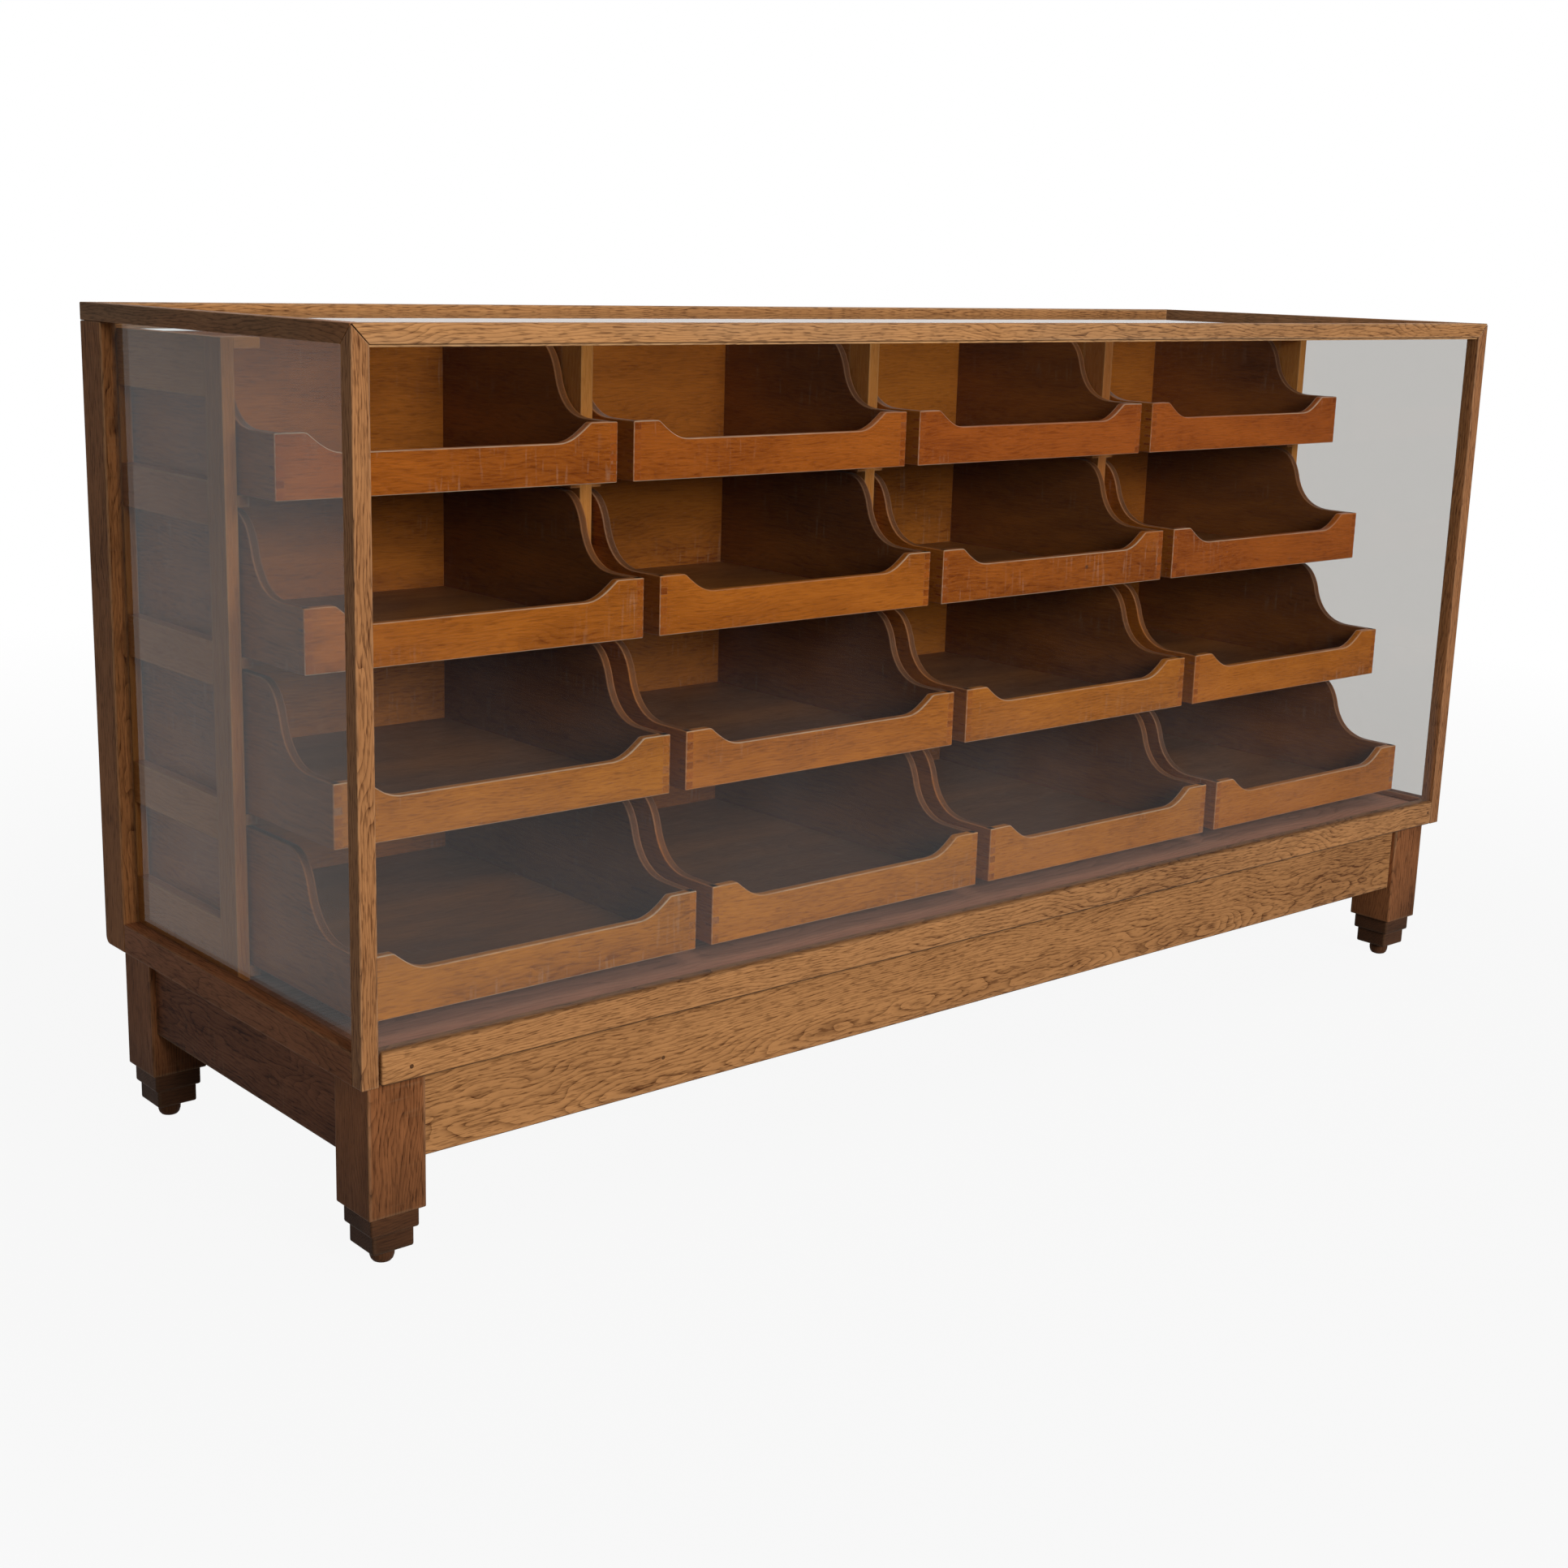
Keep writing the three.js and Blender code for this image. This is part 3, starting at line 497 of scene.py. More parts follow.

    # Dirt and painted shade: the board's grime, which on the drawers' inner side faces is painted
    # shade, and painted shade near the floor
    soiled_and_shaded = add(tree, "MapRange", {"Value": patch, "From Min": 0.3, "From Max": 0.7,
                                    "To Min": 0.8, "To Max": 1.0})
    # Painted shade near the floor: low places are darkened toward the dirt colour, as the dim floor
    # would leave them
    if floor_shade:
        spot = add(tree, "TexCoord", give="Object")
        tall = add(tree, "SeparateXYZ", {0: spot}, give="Z")
        low = add(tree, "MapRange", {"Value": tall, "From Min": 0.03, "From Max": 0.16,
                                     "To Min": floor_shade, "To Max": 0.0})
        grime_and_shade = add(tree, "Math", {0: grime_and_shade, 1: low}, operation="ADD")
    soiled_and_shaded = add(tree, "Math", {0: grime_and_shade, 1: soiled_and_shaded}, operation="MULTIPLY", use_clamp=True)
    colour = add(tree, "Mix", {FACTOR: soiled_and_shaded, FIRST: colour, SECOND: linear(darkening)},
                 data_type="RGBA")

    # The surface: dark grain is rougher and lies lower
    roughness = add(tree, "MapRange", {"Value": depth, "To Min": rough[0], "To Max": rough[1]})
    height = add(tree, "Math", {0: 1.0, 1: depth}, operation="SUBTRACT")
    normal = add(tree, "Bump", {"Strength": relief, "Distance": 0.4 * MM, "Height": height})
    shader = add(tree, "BsdfPrincipled", {
        "Base Color": colour, "Roughness": roughness, "Normal": normal,
        "Specular IOR Level": level, "Coat Weight": coat, "Coat Roughness": 0.25})
    add(tree, "OutputMaterial", {"Surface": shader})
    return material


def glass(name, mirror, film, tint, low, high):
    """Old drawn glass: clear, with a mirror share of 4 percent that rises to all of it at a grazing
    slant by the fifth power, and that is then cut to the part that mirror says. A grey film goes
    from none at the point low to the share film at the point high, in clouds 20 cm across: dust, and
    a painted reflection of the bright room."""
    head_on, cloud_size = 0.04, 200 * MM
    material, tree = new_material(name)
    clear = add(tree, "BsdfTransparent", {"Color": linear(tint)})
    shine = add(tree, "BsdfAnisotropic", {"Color": (1, 1, 1, 1), "Roughness": 0.0})
    slant = add(tree, "LayerWeight", {"Blend": 0.5}, give="Facing")
    slant = add(tree, "Math", {0: slant, 1: 5.0}, operation="POWER")
    share = add(tree, "Math", {0: slant, 1: (1 - head_on) * mirror, 2: head_on * mirror},
                operation="MULTIPLY_ADD")
    pane = add(tree, "MixShader", {0: share, 1: clear, 2: shine})
    place = add(tree, "TexCoord", give="Object")
    line = np.array(high) - np.array(low)
    far = add(tree, "VectorMath", {0: place, 1: low}, operation="SUBTRACT")
    far = add(tree, "VectorMath", {0: far, 1: tuple(line / (line @ line))}, give="Value",
              operation="DOT_PRODUCT")
    wipes = add(tree, "TexNoise", {"Vector": place, "Scale": 1 / cloud_size, "Detail": 3.0})
    far = add(tree, "Math", {0: wipes, 1: 0.6, 2: far}, operation="MULTIPLY_ADD")
    film = add(tree, "MapRange", {"Value": far, "From Min": 0.3, "From Max": 1.3, "To Max": film},
               interpolation_type="SMOOTHSTEP")
    # The grey film is a matt sheet on the pane: dust, and a painted reflection of the bright room in
    # place of a mirror
    dust_and_reflection = add(tree, "BsdfDiffuse", {"Color": linear("#b4b6b8")})
    dusty = add(tree, "MixShader", {0: film, 1: pane, 2: dust_and_reflection})
    add(tree, "OutputMaterial", {"Surface": dusty})
    return material


def turned_brass(name, bright, dull):
    """Metal that goes from bright and smooth to dull and rougher in patches of noise 8 mm wide."""
    patch_size = 8.333 * MM
    material, tree = new_material(name)
    spot = add(tree, "TexCoord", give="Object")
    tarnish = add(tree, "TexNoise", {"Vector": spot, "Scale": 1 / patch_size, "Detail": 3.0})
    tarnish = add(tree, "MapRange", {"Value": tarnish, "From Min": 0.4, "From Max": 0.7})
    colour = add(tree, "Mix", {FACTOR: tarnish, FIRST: linear(bright), SECOND: linear(dull)},
                 data_type="RGBA")
    roughness = add(tree, "MapRange", {"Value": tarnish, "To Min": 0.24, "To Max": 0.5})
    shader = add(tree, "BsdfPrincipled", {"Base Color": colour, "Metallic": 1.0,
                                          "Roughness": roughness})
    add(tree, "OutputMaterial", {"Surface": shader})
    return material


# Plain-sawn oak, oiled and long handled: honey colour, brown arches, pale rubbed edges
oak = wood("oiled_plain_sawn_oak", "#bd8654", "#502e19", "#c7ab89", "#2a1a11",
           ring=3.1, rings=0.55, fibres=0.14, pores=0.35, patches=0.4, blots=0.2, rubbed=0.4,
           level=0.06, relief=0.2)
# The same oak where hands and polish have turned it darker and redder, with painted shade near the
# floor
old_oak = wood("waxed_aged_oak", "#99613b", "#381d10", "#ab8a68", "#2c2019",
               ring=3.1, rings=0.5, fibres=0.15, pores=0.3, patches=0.8, blots=0.35, rubbed=0.5,
               scuffs=0.15, level=0.03, floor_shade=0.55, relief=0.2)
# Varnished beech of the drawer frames: pale, even, with a faint fine grain
beech = wood("varnished_beech", "#c07b40", "#7f481e", "#c79b68", "#33201a",
             ring=3.0, rings=0.2, fibres=0.25, pores=0.2, patches=0.4, blots=0.15, rubbed=0.4,
             level=0.05, relief=0.08)
# Shellacked beech of the drawers: golden to orange brown, rubbed to a grey tan at the edges, and
# brown inside, with dust and painted shade
shellac = wood("shellacked_beech", "#bc6d22", "#652d0c", "#d8c0a4", "#4f382b",
               ring=3.2, rings=0.25, fibres=0.25, pores=0.25, patches=0.9, blots=0.25, rubbed=1.0,
               scuffs=0.26, rough=(0.3, 0.45), level=0.05, coat=0.012, shift=0.4, redder=0.011,
               relief=0.08)
# Bare softwood board behind the glass: grey brown from dust
deal = wood("dusty_deal_board", "#ba8165", "#74503c", "#8f7a66", "#33281f",
            ring=6.0, rings=0.35, fibres=0.35, pores=0.05, patches=0.4, rough=(0.6, 0.75))

# Drawn glass of the front: it hardly mirrors, and a thin grey veil at the foot is dust and a painted
# reflection
clear_front = glass("drawn_glass_front", mirror=0.02, film=0.047, tint="#f6f7f6",
                    low=(0.05, 0, 0.6), high=(0, 0, 0.22))
# Drawn glass of the left end: a pale sheen, and a grey film of dust and painted reflection that
# thickens to the front and the top
clear_side = glass("drawn_glass_left", mirror=0.4, film=0.15, tint="#f4f6f6",
                   low=(-0.885, 0.25, 0.4), high=(-0.885, -0.28, 0.8))
# Drawn glass of the right end: clean, and a light grey against the white behind it
smoky_side = glass("drawn_glass_right", mirror=0.4, film=0.0, tint="#e5e3e2",
                   low=(0.885, 0, 0.9), high=(0.885, 0, 0.2))
# Drawn glass of the top: mirrors most, with next to no grey film of dust and painted reflection
clear_top = glass("drawn_glass_top", mirror=0.7, film=0.01, tint="#f4f6f6",
                  low=(0.9, 0, 0.91), high=(-0.9, 0, 0.91))
# Turned brass, dulled by hands: warm yellow metal with brown tarnish in patches
brass = turned_brass("dulled_turned_brass", "#c29a54", "#6e4f2a")

# Outer frame


def pair(name, make, material, slot):
    """Makes a left and a right piece from one rule, which is given the side as -1 or 1."""
    for word, side in (("left", -1), ("right", 1)):
        make_piece(f"oak_{name}_{word}", make(side), material, "cabinet", slot, f"{name}_{word}")


def span(side, near, far):
    """Low and high X of a piece that lies between two distances from the case's side."""
    ends = (CASE_LEFT + near, CASE_LEFT + far)
    return ends if side < 0 else (-ends[1], -ends[0])


def front_post(side):
    """A square bar whose outer front corner is drawn up, so that its top is the mitre's slope."""
    x0, x1 = span(side, 0, STOCK)
    low, high = (x0, CASE_FRONT, CASE_BOTTOM), (x1, CASE_FRONT + STOCK, TOP_RAIL_BOTTOM - MITRE)
    corners = box_corners(low, high)
    corners[0 if side < 0 else 1, 0, 1, 2] = CASE_TOP - MITRE
    tone = 0.8 if side < 0 else 1.0
    return [block(low, high, 2, corners=corners, edge=1.2, band=2.6, tone=tone, rub=0.5)]


def side_top_rail(side):
    """A square bar whose upper outer corner at the front is drawn forward to the mitre."""
    x0, x1 = span(side, 0, STOCK)
    inset = CASE_FRONT + STOCK + MITRE
    low, high = (x0, inset, TOP_RAIL_BOTTOM), (x1, CASE_BACK, CASE_TOP)
    corners = box_corners(low, high)
    corners[0 if side < 0 else 1, 0, 1, 1] = CASE_FRONT + MITRE
    return [block(low, high, 1, corners=corners, edge=1.2, band=2.6, tone=0.2, wear=1.0)]


def back_post(side):
    """A board in Y and Z whose lower back corner is a quarter circle."""
    x0, x1 = span(side, 0, STOCK)
    angle = np.linspace(0, np.pi / 2, 7)
    foot_y = CASE_BACK - POST_FOOT_RADIUS * (1 - np.sin(angle))
    foot_z = CASE_BOTTOM + POST_FOOT_RADIUS * (1 - np.cos(angle))
    top = TOP_RAIL_BOTTOM - JOINT
    outline = [(BACK_POST_FRONT, CASE_BOTTOM), *np.stack([foot_y, foot_z], 1), (CASE_BACK, top),
               (BACK_POST_FRONT, top)]
    return [cut_board(outline, x0, x1 - x0, 0, 2, edge=1.2, sawn="flat", tone=0.0)]


def side_tray_rail(side):
    """A bar between the front post and the back post, at the foot of the glass."""
    x0, x1 = span(side, 0, STOCK)
    low = (x0, CASE_FRONT + STOCK + JOINT, CASE_BOTTOM)
    return [block(low, (x1, BACK_POST_FRONT - JOINT, TRAY_TOP), 1, edge=1.2, sawn="flat")]


def side_apron(side):
    """A board on edge between the front leg and the back leg."""
    x0, x1 = span(side, APRON_SETBACK, APRON_SETBACK + APRON_THICKNESS)
    reach = LEG_INSET + LEG_SIDE + JOINT
    low = (x0, CASE_FRONT + reach, APRON_BOTTOM)
    return [block(low, (x1, CASE_BACK - reach, LEG_TOP), 1, edge=1.2, sawn="flat")]


def front_top_rail():
    """A bar whose upper front edge is drawn out to both mitres, and the putty line under it."""
    end = -CASE_LEFT - STOCK - MITRE
    low, high = (-end, CASE_FRONT, TOP_RAIL_BOTTOM), (end, CASE_FRONT + STOCK, CASE_TOP)
    corners = box_corners(low, high)
    corners[:, 0, 1, 0] = CASE_LEFT + MITRE, CASE_RIGHT - MITRE
    putty_front = CASE_FRONT + PUTTY_SETBACK
    putty = block((-end, putty_front, TOP_RAIL_BOTTOM - PUTTY_HEIGHT),
                  (end, putty_front + PUTTY_THICKNESS, TOP_RAIL_BOTTOM), 0, edge=0.3, tone=0.0,
                  wear=1.0)
    rail = block(low, high, 0, corners=corners, edge=1.2, band=2.6, sawn="flat", tone=0.35,
                 wear=(0.9, 0.0), dark_rims=(0.6, 0.1))
    return [rail, putty]


def back_top_rail():
    """A bar over the lips of the top row."""
    bottom = drawer_bottom(1) + DRAWER_HEIGHT + LIP_GAP
    return [block((INNER_LEFT, REAR_FRONT, bottom), (-INNER_LEFT, CASE_BACK, CASE_TOP), 0,
                  edge=1.2, sawn="flat")]


def front_tray_rail():
    """A bar between the posts, darker along both edges, with a plug near either end."""
    rail = block((INNER_LEFT + TRAY_END_GAP, CASE_FRONT, CASE_BOTTOM),
                 (-INNER_LEFT, CASE_FRONT + STOCK, TRAY_TOP), 0, edge=2.5, band=4.5, sawn="flat",
                 tone=0.45, wear=0.1, rub=0.3, dark_rims=(1.0, 0.5))
    return [rail, *[plug(x, CASE_FRONT, z, PLUG_RADIUS) for x, z in TRAY_RAIL_PLUGS]]


def front_apron():
    """A board on edge between the front legs, with one plug."""
    face = CASE_FRONT + APRON_SETBACK
    board = block((-APRON_END, face, APRON_BOTTOM), (APRON_END, face + APRON_THICKNESS, LEG_TOP), 0,
                  edge=1.5, band=9, sawn="flat", tone=0.4, rub=0.2, dark_rims=(0.8, 0.3))
    return [board, plug(APRON_PLUG[0], face, APRON_PLUG[1], PLUG_RADIUS)]


def floor_board():
    """Boards side by side, parted at even steps in Y, and the back apron glued under them."""
    seams = np.linspace(CASE_FRONT + STOCK + JOINT, CASE_BACK, FLOOR_BOARDS + 1)
    boards = [block((INNER_LEFT, y0, CASE_BOTTOM), (-INNER_LEFT, y1, FLOOR_TOP), 0, edge=0.6,
                    sawn="flat")
              for y0, y1 in zip(seams[:-1], seams[1:])]
    face = CASE_BACK - APRON_SETBACK
    boards.append(block((-APRON_END, face - APRON_THICKNESS, APRON_BOTTOM),
                        (APRON_END, face, CASE_BOTTOM), 0, sawn="flat"))
    return boards


pair("front_post", front_post, oak, "aged_oak")
pair("back_post", back_post, old_oak, "aged_oak")
pair("top_rail", side_top_rail, old_oak, "aged_oak")
pair("tray_rail", side_tray_rail, old_oak, "aged_oak")
pair("apron", side_apron, old_oak, "aged_oak")
make_piece("oak_top_rail_front", front_top_rail(), oak, "cabinet", "light_oak", "top_rail_front")
make_piece("oak_top_rail_back", back_top_rail(), oak, "cabinet", "light_oak", "top_rail_back")
make_piece("oak_tray_rail_front", front_tray_rail(), oak, "cabinet", "light_oak",
           "tray_rail_front")
make_piece("oak_apron_front", front_apron(), oak, "cabinet", "light_oak", "apron_front")
make_piece("deal_floor_board", floor_board(), deal, "cabinet", "floor_wood", "floor_board")

# Legs

# Half the section of the glide under a leg, as radius and height in mm
GLIDE = [(0.05, 0), (6.5, 0), (9.5, 1.2), (11.4, 3.4), (12.6, 7), (13, 11.2), (12.2, 14.6),
         (10.4, 18), (0.05, 18.2)]


def leg(side, y):
    """A square block over two smaller steps and a turned glide."""
    x0, x1 = span(side, LEG_INSET, LEG_INSET + LEG_SIDE)
    boards = [block((x0, y, LEG_SHOULDER), (x1, y + LEG_SIDE, LEG_TOP), 2, edge=1.8, band=4,
                    tone=0.5)]
    for number, (inset, grime_and_shade) in enumerate(zip(STEP_INSETS, STEP_GRIME)):
        top = LEG_SHOULDER - number * STEP_HEIGHT
        boards.append(block((x0 + inset, y + inset, top - STEP_HEIGHT),
                            (x1 - inset, y + LEG_SIDE - inset, top + OVERLAP), 0, edge=2.5,
                            band=4, tone=0.6, grime_and_shade=grime_and_shade))
    boards.append(turned(GLIDE, ((x0 + x1) / 2, y + LEG_SIDE / 2, 0), grime_and_shade=0.3))
    return boards


for place, y in (("front", CASE_FRONT + LEG_INSET), ("back", CASE_BACK - LEG_INSET - LEG_SIDE)):
    pair(f"leg_{place}", lambda side: leg(side, y), old_oak, "aged_oak")

# Drawer frames


def carcass_frame(x0, x1, sides):
    """A front stile and a rear stile with a rail at the foot, at the head and beside each row
    between them, and on the given sides a runner under every drawer."""
    rail_front, rail_back = CARCASS_FRONT + STILE_FRONT, CARCASS_BACK - STILE_REAR
    spans = [(CARCASS_BOTTOM, CARCASS_BOTTOM + FOOT_RAIL), (CARCASS_TOP - HEAD_RAIL, CARCASS_TOP)]
    for row in ROWS[:-1]:
        top = drawer_bottom(row) + ROW_RAIL_RISE
        spans.append((top - ROW_RAIL, top))
    boards = [block((x0, CARCASS_FRONT, CARCASS_BOTTOM), (x1, rail_front, CARCASS_TOP), 2, edge=0.6),
              block((x0, rail_back, CARCASS_BOTTOM), (x1, CARCASS_BACK, CARCASS_TOP), 2, edge=0.6)]
    boards += [block((x0, rail_front, z0), (x1, rail_back, z1), 1, edge=0.6) for z0, z1 in spans]
    for side in sides:
        face = x0 if side < 0 else x1
        ends = sorted((face, face + side * RUNNER_WIDTH))
        for row in ROWS:
            top = drawer_bottom(row) - RUNNER_GAP
            boards.append(block((ends[0], CARCASS_FRONT, top - RUNNER_HEIGHT),
                                (ends[1], CARCASS_BACK, top), 1, edge=0.6, tone=0.9))
    return boards


def end_frame(side):
    """A frame beside the glass, with a short cleat on its inner face at the top."""
    outer = INNER_LEFT - CASE_LEFT
    x0, x1 = span(side, outer, outer + END_FRAME)
    boards = carcass_frame(x0, x1, [-side])
    c0, c1 = span(side, outer + END_FRAME, outer + CLEAT_REACH)
    boards.append(block((c0, CARCASS_FRONT, CARCASS_TOP - CLEAT_HEIGHT),
                        (c1, CARCASS_FRONT + STILE_FRONT, CARCASS_TOP), 0, edge=0.6))
    return boards


for word, side in (("left", -1), ("right", 1)):
    make_piece(f"beech_end_frame_{word}", end_frame(side), beech, "cabinet", "carcass_wood",
               f"end_frame_{word}")
for number in COLUMNS[:-1]:
    x1 = bay_left(number + 1)
    make_piece(f"beech_divider_{number}", carcass_frame(x1 - DIVIDER, x1, [-1, 1]), beech,
               "cabinet", "carcass_wood", f"divider_{number}")

# Drawers


def curve(a, b, c, d):
    """Points of a cubic curve from a to d with handles b and c, without its first point: with t
    from 0 to 1, a weighs (1 - t) cubed, b three times (1 - t) squared times t, c three times
    (1 - t) times t squared, and d t cubed."""
    t = np.linspace(0, 1, CURVE_STEPS + 1)[1:, None]
    a, b, c, d = (np.array(p, float) for p in (a, b, c, d))
    return (1 - t) ** 3 * a + 3 * (1 - t) ** 2 * t * b + 3 * (1 - t) * t**2 * c + t**3 * d


def front_outline():
    """A drawer front in X and Z: flat raised ears, a small round, a cove down to the middle."""
    ear, small, cove, dip = 33 * MM, 6 * MM, 46 * MM, 21.3 * MM
    top, low = FRONT_HEIGHT, FRONT_HEIGHT - dip
    ear_end, cove_end = ear + small, ear + cove
    bend = (ear_end, top - small / 2)
    run = cove_end - ear_end
    half = np.concatenate([
        [(0, 0), (0, top), (ear, top)],
        curve((ear, top), (ear + small / 2, top), (ear_end - small / 4, top - small / 4), bend)[::3],
        curve(bend, (ear_end + cove * 0.25, top - dip * 0.55), (ear_end + run * 0.55, low),
              (cove_end, low)),
    ])
    other = half[::-1] * (-1, 1) + (DRAWER_WIDTH, 0)
    return np.concatenate([half, other])[::-1]


def side_outline(length):
    """A drawer side in Y and Z: low at the front, an ogee up to full height, level to the back."""
    low, top = FRONT_HEIGHT, DRAWER_HEIGHT
    rise, middle = top - low, (top + low) / 2
    start, lower, upper = 46 * MM, 58 * MM, 42 * MM
    bend, end = start + lower, start + lower + upper
    return np.concatenate([
        [(0, 0), (length, 0), (length, top), (end, top)],
        curve((end, top), (end - upper * 0.55, top),
              (bend + upper * 0.14, middle + rise * 0.3), (bend, middle)),
        curve((bend, middle), (bend - lower * 0.14, middle - rise * 0.3),
              (start + lower * 0.55, low), (start, low)),
        [(0, low)],
    ])


def dovetails(x, y, z, tone):
    """The end grain that shows at the front corners of a drawer, a hair proud of the wood: the
    tails of the sides on the front, and the pins of the front on the sides."""
    count, proud = 6, 0.1 * MM
    outer, inner, gap, drop = 0.8 * MM, 0.2 * MM, 1.6 * MM, 1.2 * MM
    lowest_lift = 2 * MM
    pitch = FRONT_HEIGHT / count
    width = SIDE_THICKNESS - outer - inner
    boards = []
    for number in range(count):
        base = z + number * pitch
        for x0 in (x + outer, x + DRAWER_WIDTH - SIDE_THICKNESS + inner):
            boards.append(block((x0, y - proud, base + gap),
                                (x0 + width, y + OVERLAP, base + pitch - gap), 1, edge=0.1,
                                band=0.3, rub=0.3, tone=tone + random.uniform(0.1, 0.3)))
        foot = base - drop + (0 if number else lowest_lift)
        for x0 in (x - proud, x + DRAWER_WIDTH - OVERLAP):
            boards.append(block((x0, y + outer, foot),
                                (x0 + proud + OVERLAP, y + FRONT_THICKNESS, base + gap), 0,
                                edge=0.1, band=0.3, rub=0.3,
                                tone=tone + random.uniform(0.1, 0.3)))
    return boards


def lip_ends(column):
    """Low and high X of a back panel's lip, half a gap short of the middle of either divider or
    of the case's inside."""
    first, last = column == COLUMNS[0], column == COLUMNS[-1]
    low = INNER_LEFT if first else bay_left(column) - DIVIDER / 2
    high = -INNER_LEFT if last else bay_left(column + 1) - DIVIDER / 2
    return low + LIP_GAP / 2, high - LIP_GAP / 2


def drawer_boards(row, column):
    """A front, two sides, a back panel and its lip, a bottom and the dovetails. The front's ends
    and the sides' are sunk a little, so that no two faces lie in one plane."""
    x, y, z = drawer_left(column), drawer_front(row), drawer_bottom(row)
    right, top = x + DRAWER_WIDTH, z + DRAWER_HEIGHT
    inner_back = REAR_FRONT - BACK_TONGUE
    lip_left, lip_right = lip_ends(column)
    # The upper rows and the right columns are darker: painted shade of light that falls off to the
    # right and toward the top, with a random tone on top
    tone = 0.93 - 0.25 * row + 0.1 * column + random.uniform(-0.1, 0.1)
    sunk = 0.15 * MM
    squeeze = (1 - 2 * sunk / DRAWER_WIDTH, 1)
    side = side_outline(REAR_FRONT - y - sunk) + (y + sunk, z)
    boards = [
        cut_board(front_outline() * squeeze + (x + sunk, z), y, FRONT_THICKNESS, 1, 0, edge=1.1,
                  sawn="flat" if (row + column) % 3 else "rift", tone=tone),
        # The sides are set darker, and their inner faces darker still: dust, and painted shade
        # inside the drawer
        cut_board(side, x, SIDE_THICKNESS, 0, 1, tone=0.6, rub=0.3, rim=0.5, inner=(0.1, 0.6)),
        cut_board(side, right - SIDE_THICKNESS, SIDE_THICKNESS, 0, 1, tone=0.6, rub=0.3, rim=0.5,
                  inner=(0.6, 0.1)),
        block((x + SIDE_THICKNESS, inner_back, z),
              (right - SIDE_THICKNESS, REAR_FRONT + OVERLAP, top), 0, sawn="flat",
              tone=random.uniform(0.3, 0.6), grime_and_shade=0.25, rub=0.0),
        block((lip_left, REAR_FRONT, top - ROW_PITCH + LIP_GAP), (lip_right, CASE_BACK, top), 0,
              edge=1.5, band=4, sawn="flat", tone=random.uniform(0.35, 0.75)),
        block((x + SIDE_THICKNESS / 2, y + FRONT_THICKNESS / 2, z + BOTTOM_RISE),
              (right - SIDE_THICKNESS / 2, inner_back + OVERLAP, z + BOTTOM_RISE + BOTTOM_THICKNESS),
              0, edge=0.3, sawn="flat", tone=0.3, grime_and_shade=0.65, rub=0.0),
        *dovetails(x, y, z, tone),
    ]
    if (row, column) == KNOT_DRAWER:
        boards.append(plug(KNOT_PLACE[0], y, KNOT_PLACE[1], KNOT_RADIUS))
    return boards


# Half the section of a knob, as radius and height over the lip in mm
KNOB = [(10, 0.35), (10, 1.6), (9.2, 2.5), (7.2, 3), (6, 4.2), (5.5, 6), (5.3, 8), (5.8, 9.6),
        (8, 11), (10.6, 12.4), (12.1, 14), (12.5, 15.6), (12.1, 17.4), (10.9, 19.2), (8.6, 20.7),
        (5, 21.7), (0.05, 22)]


def knob(row, column):
    """A turned knob on the middle of a drawer's lip."""
    x = drawer_left(column) + DRAWER_WIDTH / 2
    z = drawer_bottom(row) + DRAWER_HEIGHT - (ROW_PITCH - LIP_GAP) / 2
    return [turned(KNOB, (x, CASE_BACK, z), upright=False)]


for row in ROWS:
    for column in COLUMNS:
        label, body = f"row{row}_col{column}", f"drawer_{row}_{column}"
        make_piece(f"beech_drawer_{label}", drawer_boards(row, column), shellac, body,
                   "drawer_wood", f"drawer_{label}")
        make_piece(f"brass_knob_{label}", knob(row, column), brass, body, "aged_brass",
                   f"knob_{label}")

# Glass: the solids' own panes
for name, material in (("glass_front", clear_front), ("glass_left", clear_side),
                       ("glass_right", smoky_side), ("glass_top", clear_top)):
    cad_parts[name].data.materials.clear()
    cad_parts[name].data.materials.append(material)

# Camera, fitted to the photograph: focal length and centre in its pixels, the sensor in mm
FOCAL, CENTRE, IMAGE = 2694.0, (908.7, 948.9), 1932
YAW, PITCH, ROLL = math.radians(40.159), math.radians(13.244), math.radians(1.495)
CAMERA_PLACE = (-1.88942, -2.0085, 0.98595)
SENSOR = 36


def placed(piece, right, up, back, place):
    """Links a camera or lamp and sets its axes to the right, up and to its back, and its place,
    as the four columns of its matrix."""
    bpy.context.scene.collection.objects.link(piece)
    pose = np.eye(4)
    pose[:3] = np.stack([right, up, back, place], 1)
    piece.matrix_world = Matrix(pose.tolist())


ahead = np.array([math.sin(YAW) * math.cos(PITCH), math.cos(YAW) * math.cos(PITCH),
                  -math.sin(PITCH)])
level = np.array([math.cos(YAW), -math.sin(YAW), 0])
upright = np.cross(level, ahead)
camera = bpy.data.objects.new("camera", bpy.data.cameras.new("camera"))
placed(camera, math.cos(ROLL) * level + math.sin(ROLL) * upright,
       math.cos(ROLL) * upright - math.sin(ROLL) * level, -ahead, CAMERA_PLACE)
camera.data.sensor_width = SENSOR
camera.data.lens = FOCAL / IMAGE * SENSOR
camera.data.shift_x = (IMAGE / 2 - CENTRE[0]) / IMAGE
camera.data.shift_y = (CENTRE[1] - IMAGE / 2) / IMAGE
camera.data.clip_end = 200
bpy.context.scene.camera = camera

# Floor, background and light
bpy.context.scene.view_settings.view_transform = "Standard"


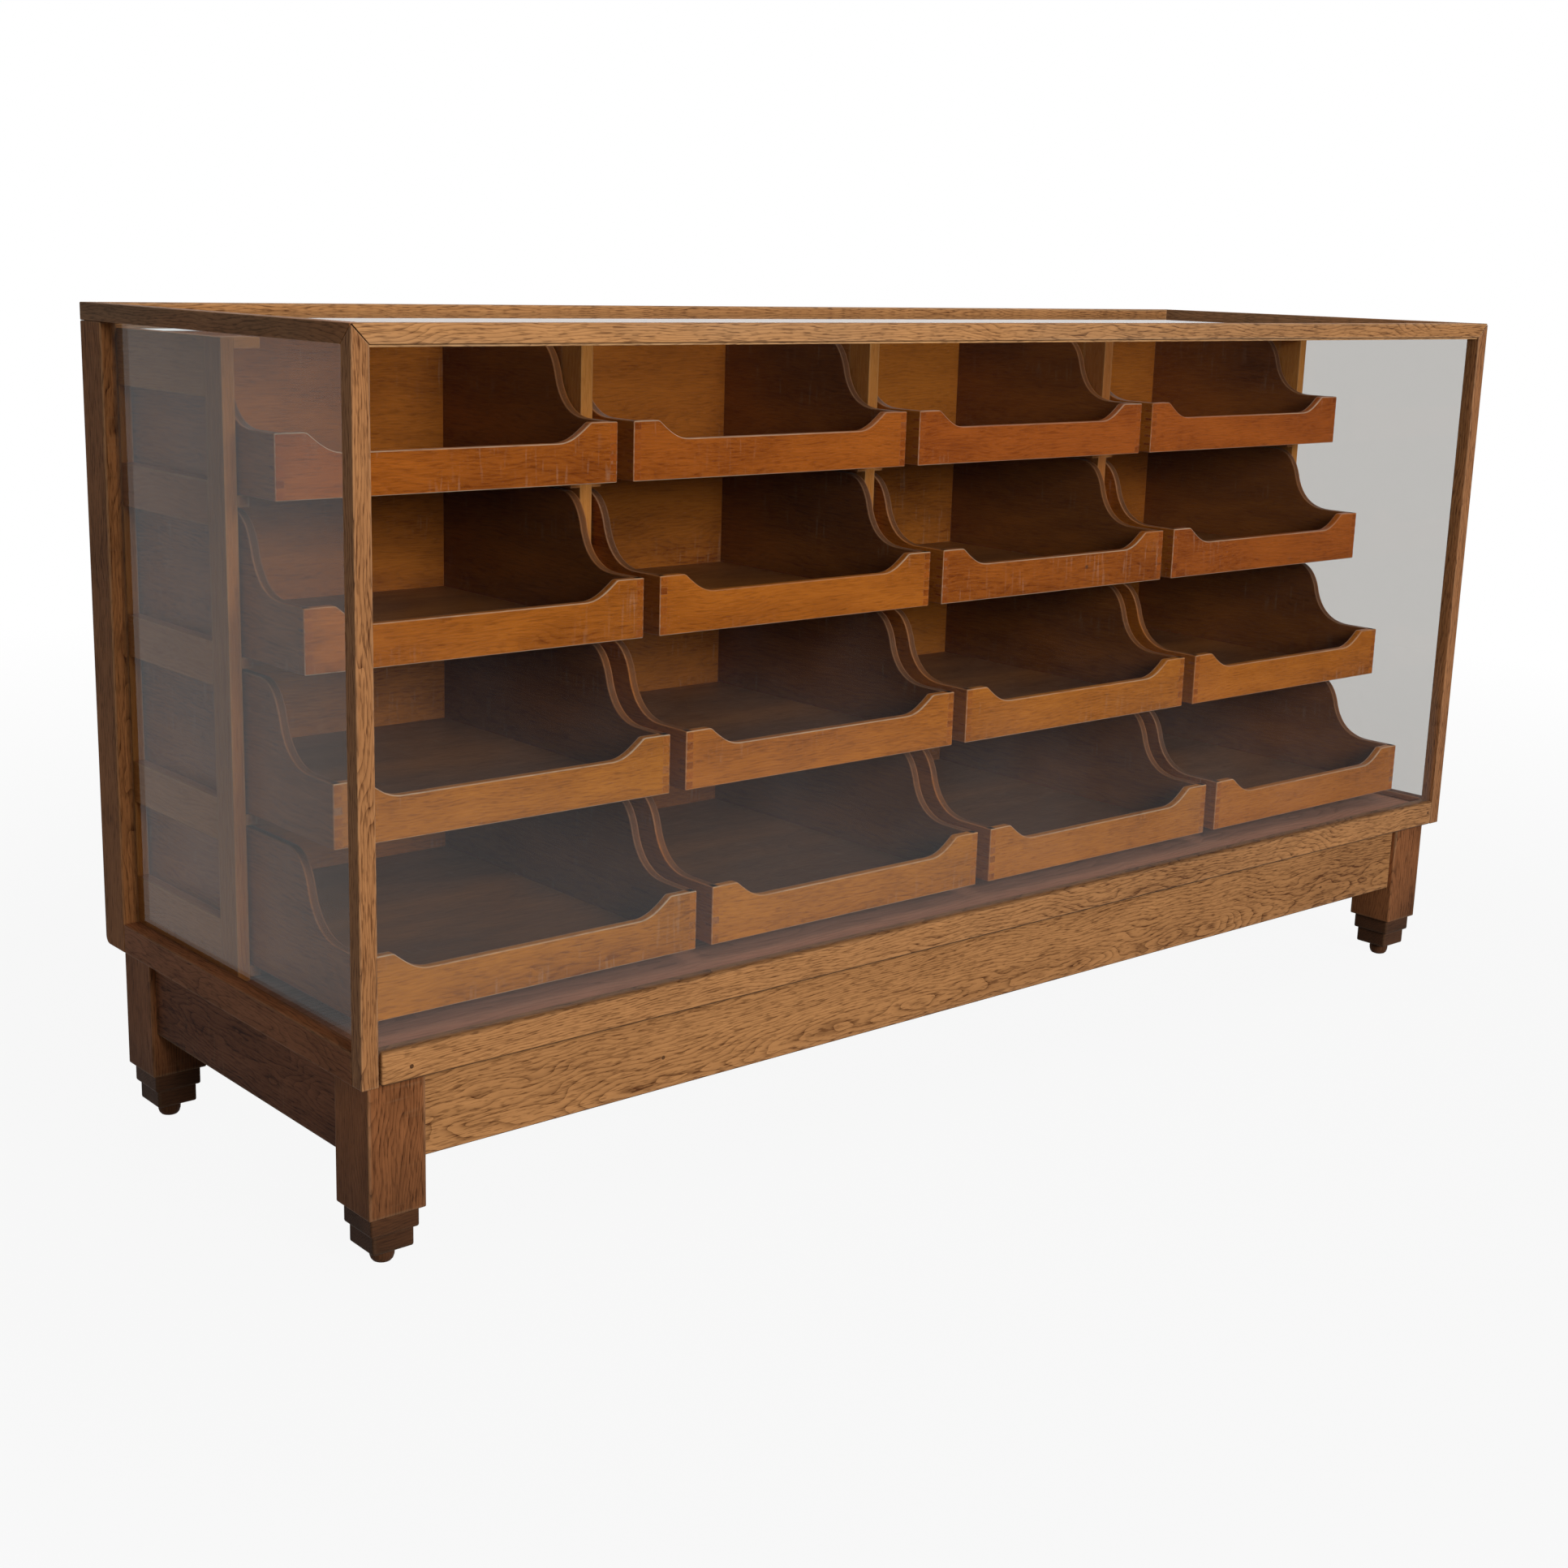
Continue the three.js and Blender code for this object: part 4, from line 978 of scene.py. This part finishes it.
def seen_share(tree, share):
    """The share at which plain white takes the place of a shader: the given one for rays from
    the camera, from gloss and from glass, and none for lamps and bounced light."""
    path = add(tree, "LightPath").node.outputs
    seen = add(tree, "Math", {0: path["Is Camera Ray"], 1: path["Is Glossy Ray"]},
               operation="MAXIMUM")
    seen = add(tree, "Math", {0: seen, 1: path["Is Transmission Ray"]}, operation="MAXIMUM")
    return add(tree, "Math", {0: seen, 1: share}, operation="MULTIPLY")


def pale_paper(name):
    """Matt paper that keeps a shadow near the cabinet and goes to plain white further out."""
    material, tree = new_material(name)
    matt = add(tree, "BsdfDiffuse", {"Color": linear("#8c8c8a")})
    white = add(tree, "Emission", {"Color": (1, 1, 1, 1), "Strength": 1.0})
    place = add(tree, "TexCoord", give="Object")
    away = add(tree, "VectorMath", {0: place}, give="Value", operation="LENGTH")
    away = add(tree, "MapRange", {"Value": away, "From Min": 1.2, "From Max": 3.5, "To Min": 0.92})
    mixed = add(tree, "MixShader", {0: seen_share(tree, away), 1: matt, 2: white})
    add(tree, "OutputMaterial", {"Surface": mixed})
    return material


reach = 60.0
mesh = bpy.data.meshes.new("studio_floor")
mesh.from_pydata([(-reach, -reach, 0), (reach, -reach, 0), (reach, reach, 0), (-reach, reach, 0)],
                 [], [(0, 1, 2, 3)])
mesh.materials.append(pale_paper("pale_floor"))
floor = bpy.data.objects.new("studio_floor", mesh)
bpy.context.scene.collection.objects.link(floor)

world = bpy.data.worlds.new("studio")
world.use_nodes = True
world.node_tree.nodes.clear()
bpy.context.scene.world = world
dim = add(world.node_tree, "Background", {"Color": (1, 1, 1, 1), "Strength": 0.08})
bright = add(world.node_tree, "Background", {"Color": (1, 1, 1, 1), "Strength": 1.0})
sky = add(world.node_tree, "MixShader", {0: seen_share(world.node_tree, 1.0), 1: dim, 2: bright})
add(world.node_tree, "OutputWorld", {"Surface": sky})


def lamp(name, place, target, size, power):
    """A soft lamp, as wide and as high as its size says, that faces its target and isn't
    mirrored in the glass."""
    light = bpy.data.lights.new(name, "AREA")
    light.shape, light.energy = "RECTANGLE", power
    light.size, light.size_y = size
    away = np.array(place, float) - np.array(target, float)
    away /= np.linalg.norm(away)
    side = np.cross((0, 0, 1), away)
    side /= np.linalg.norm(side)
    holder = bpy.data.objects.new(name, light)
    placed(holder, side, np.cross(away, side), away, place)
    holder.visible_glossy = False


lamp("window", place=(-0.7, -4.8, 2.1), target=(0, 0, 0.6), size=(2.8, 1.8), power=235)
lamp("ceiling", place=(0.3, -0.6, 3.4), target=(0, -0.1, 0.6), size=(2.5, 2.5), power=30)
lamp("doorway", place=(-3.6, 1.2, 1.2), target=(-0.9, 0, 0.6), size=(1.5, 2.0), power=4.5)
lamp("shop", place=(1.6, 4.6, 1.9), target=(0, 0.3, 0.5), size=(2.8, 1.8), power=130)
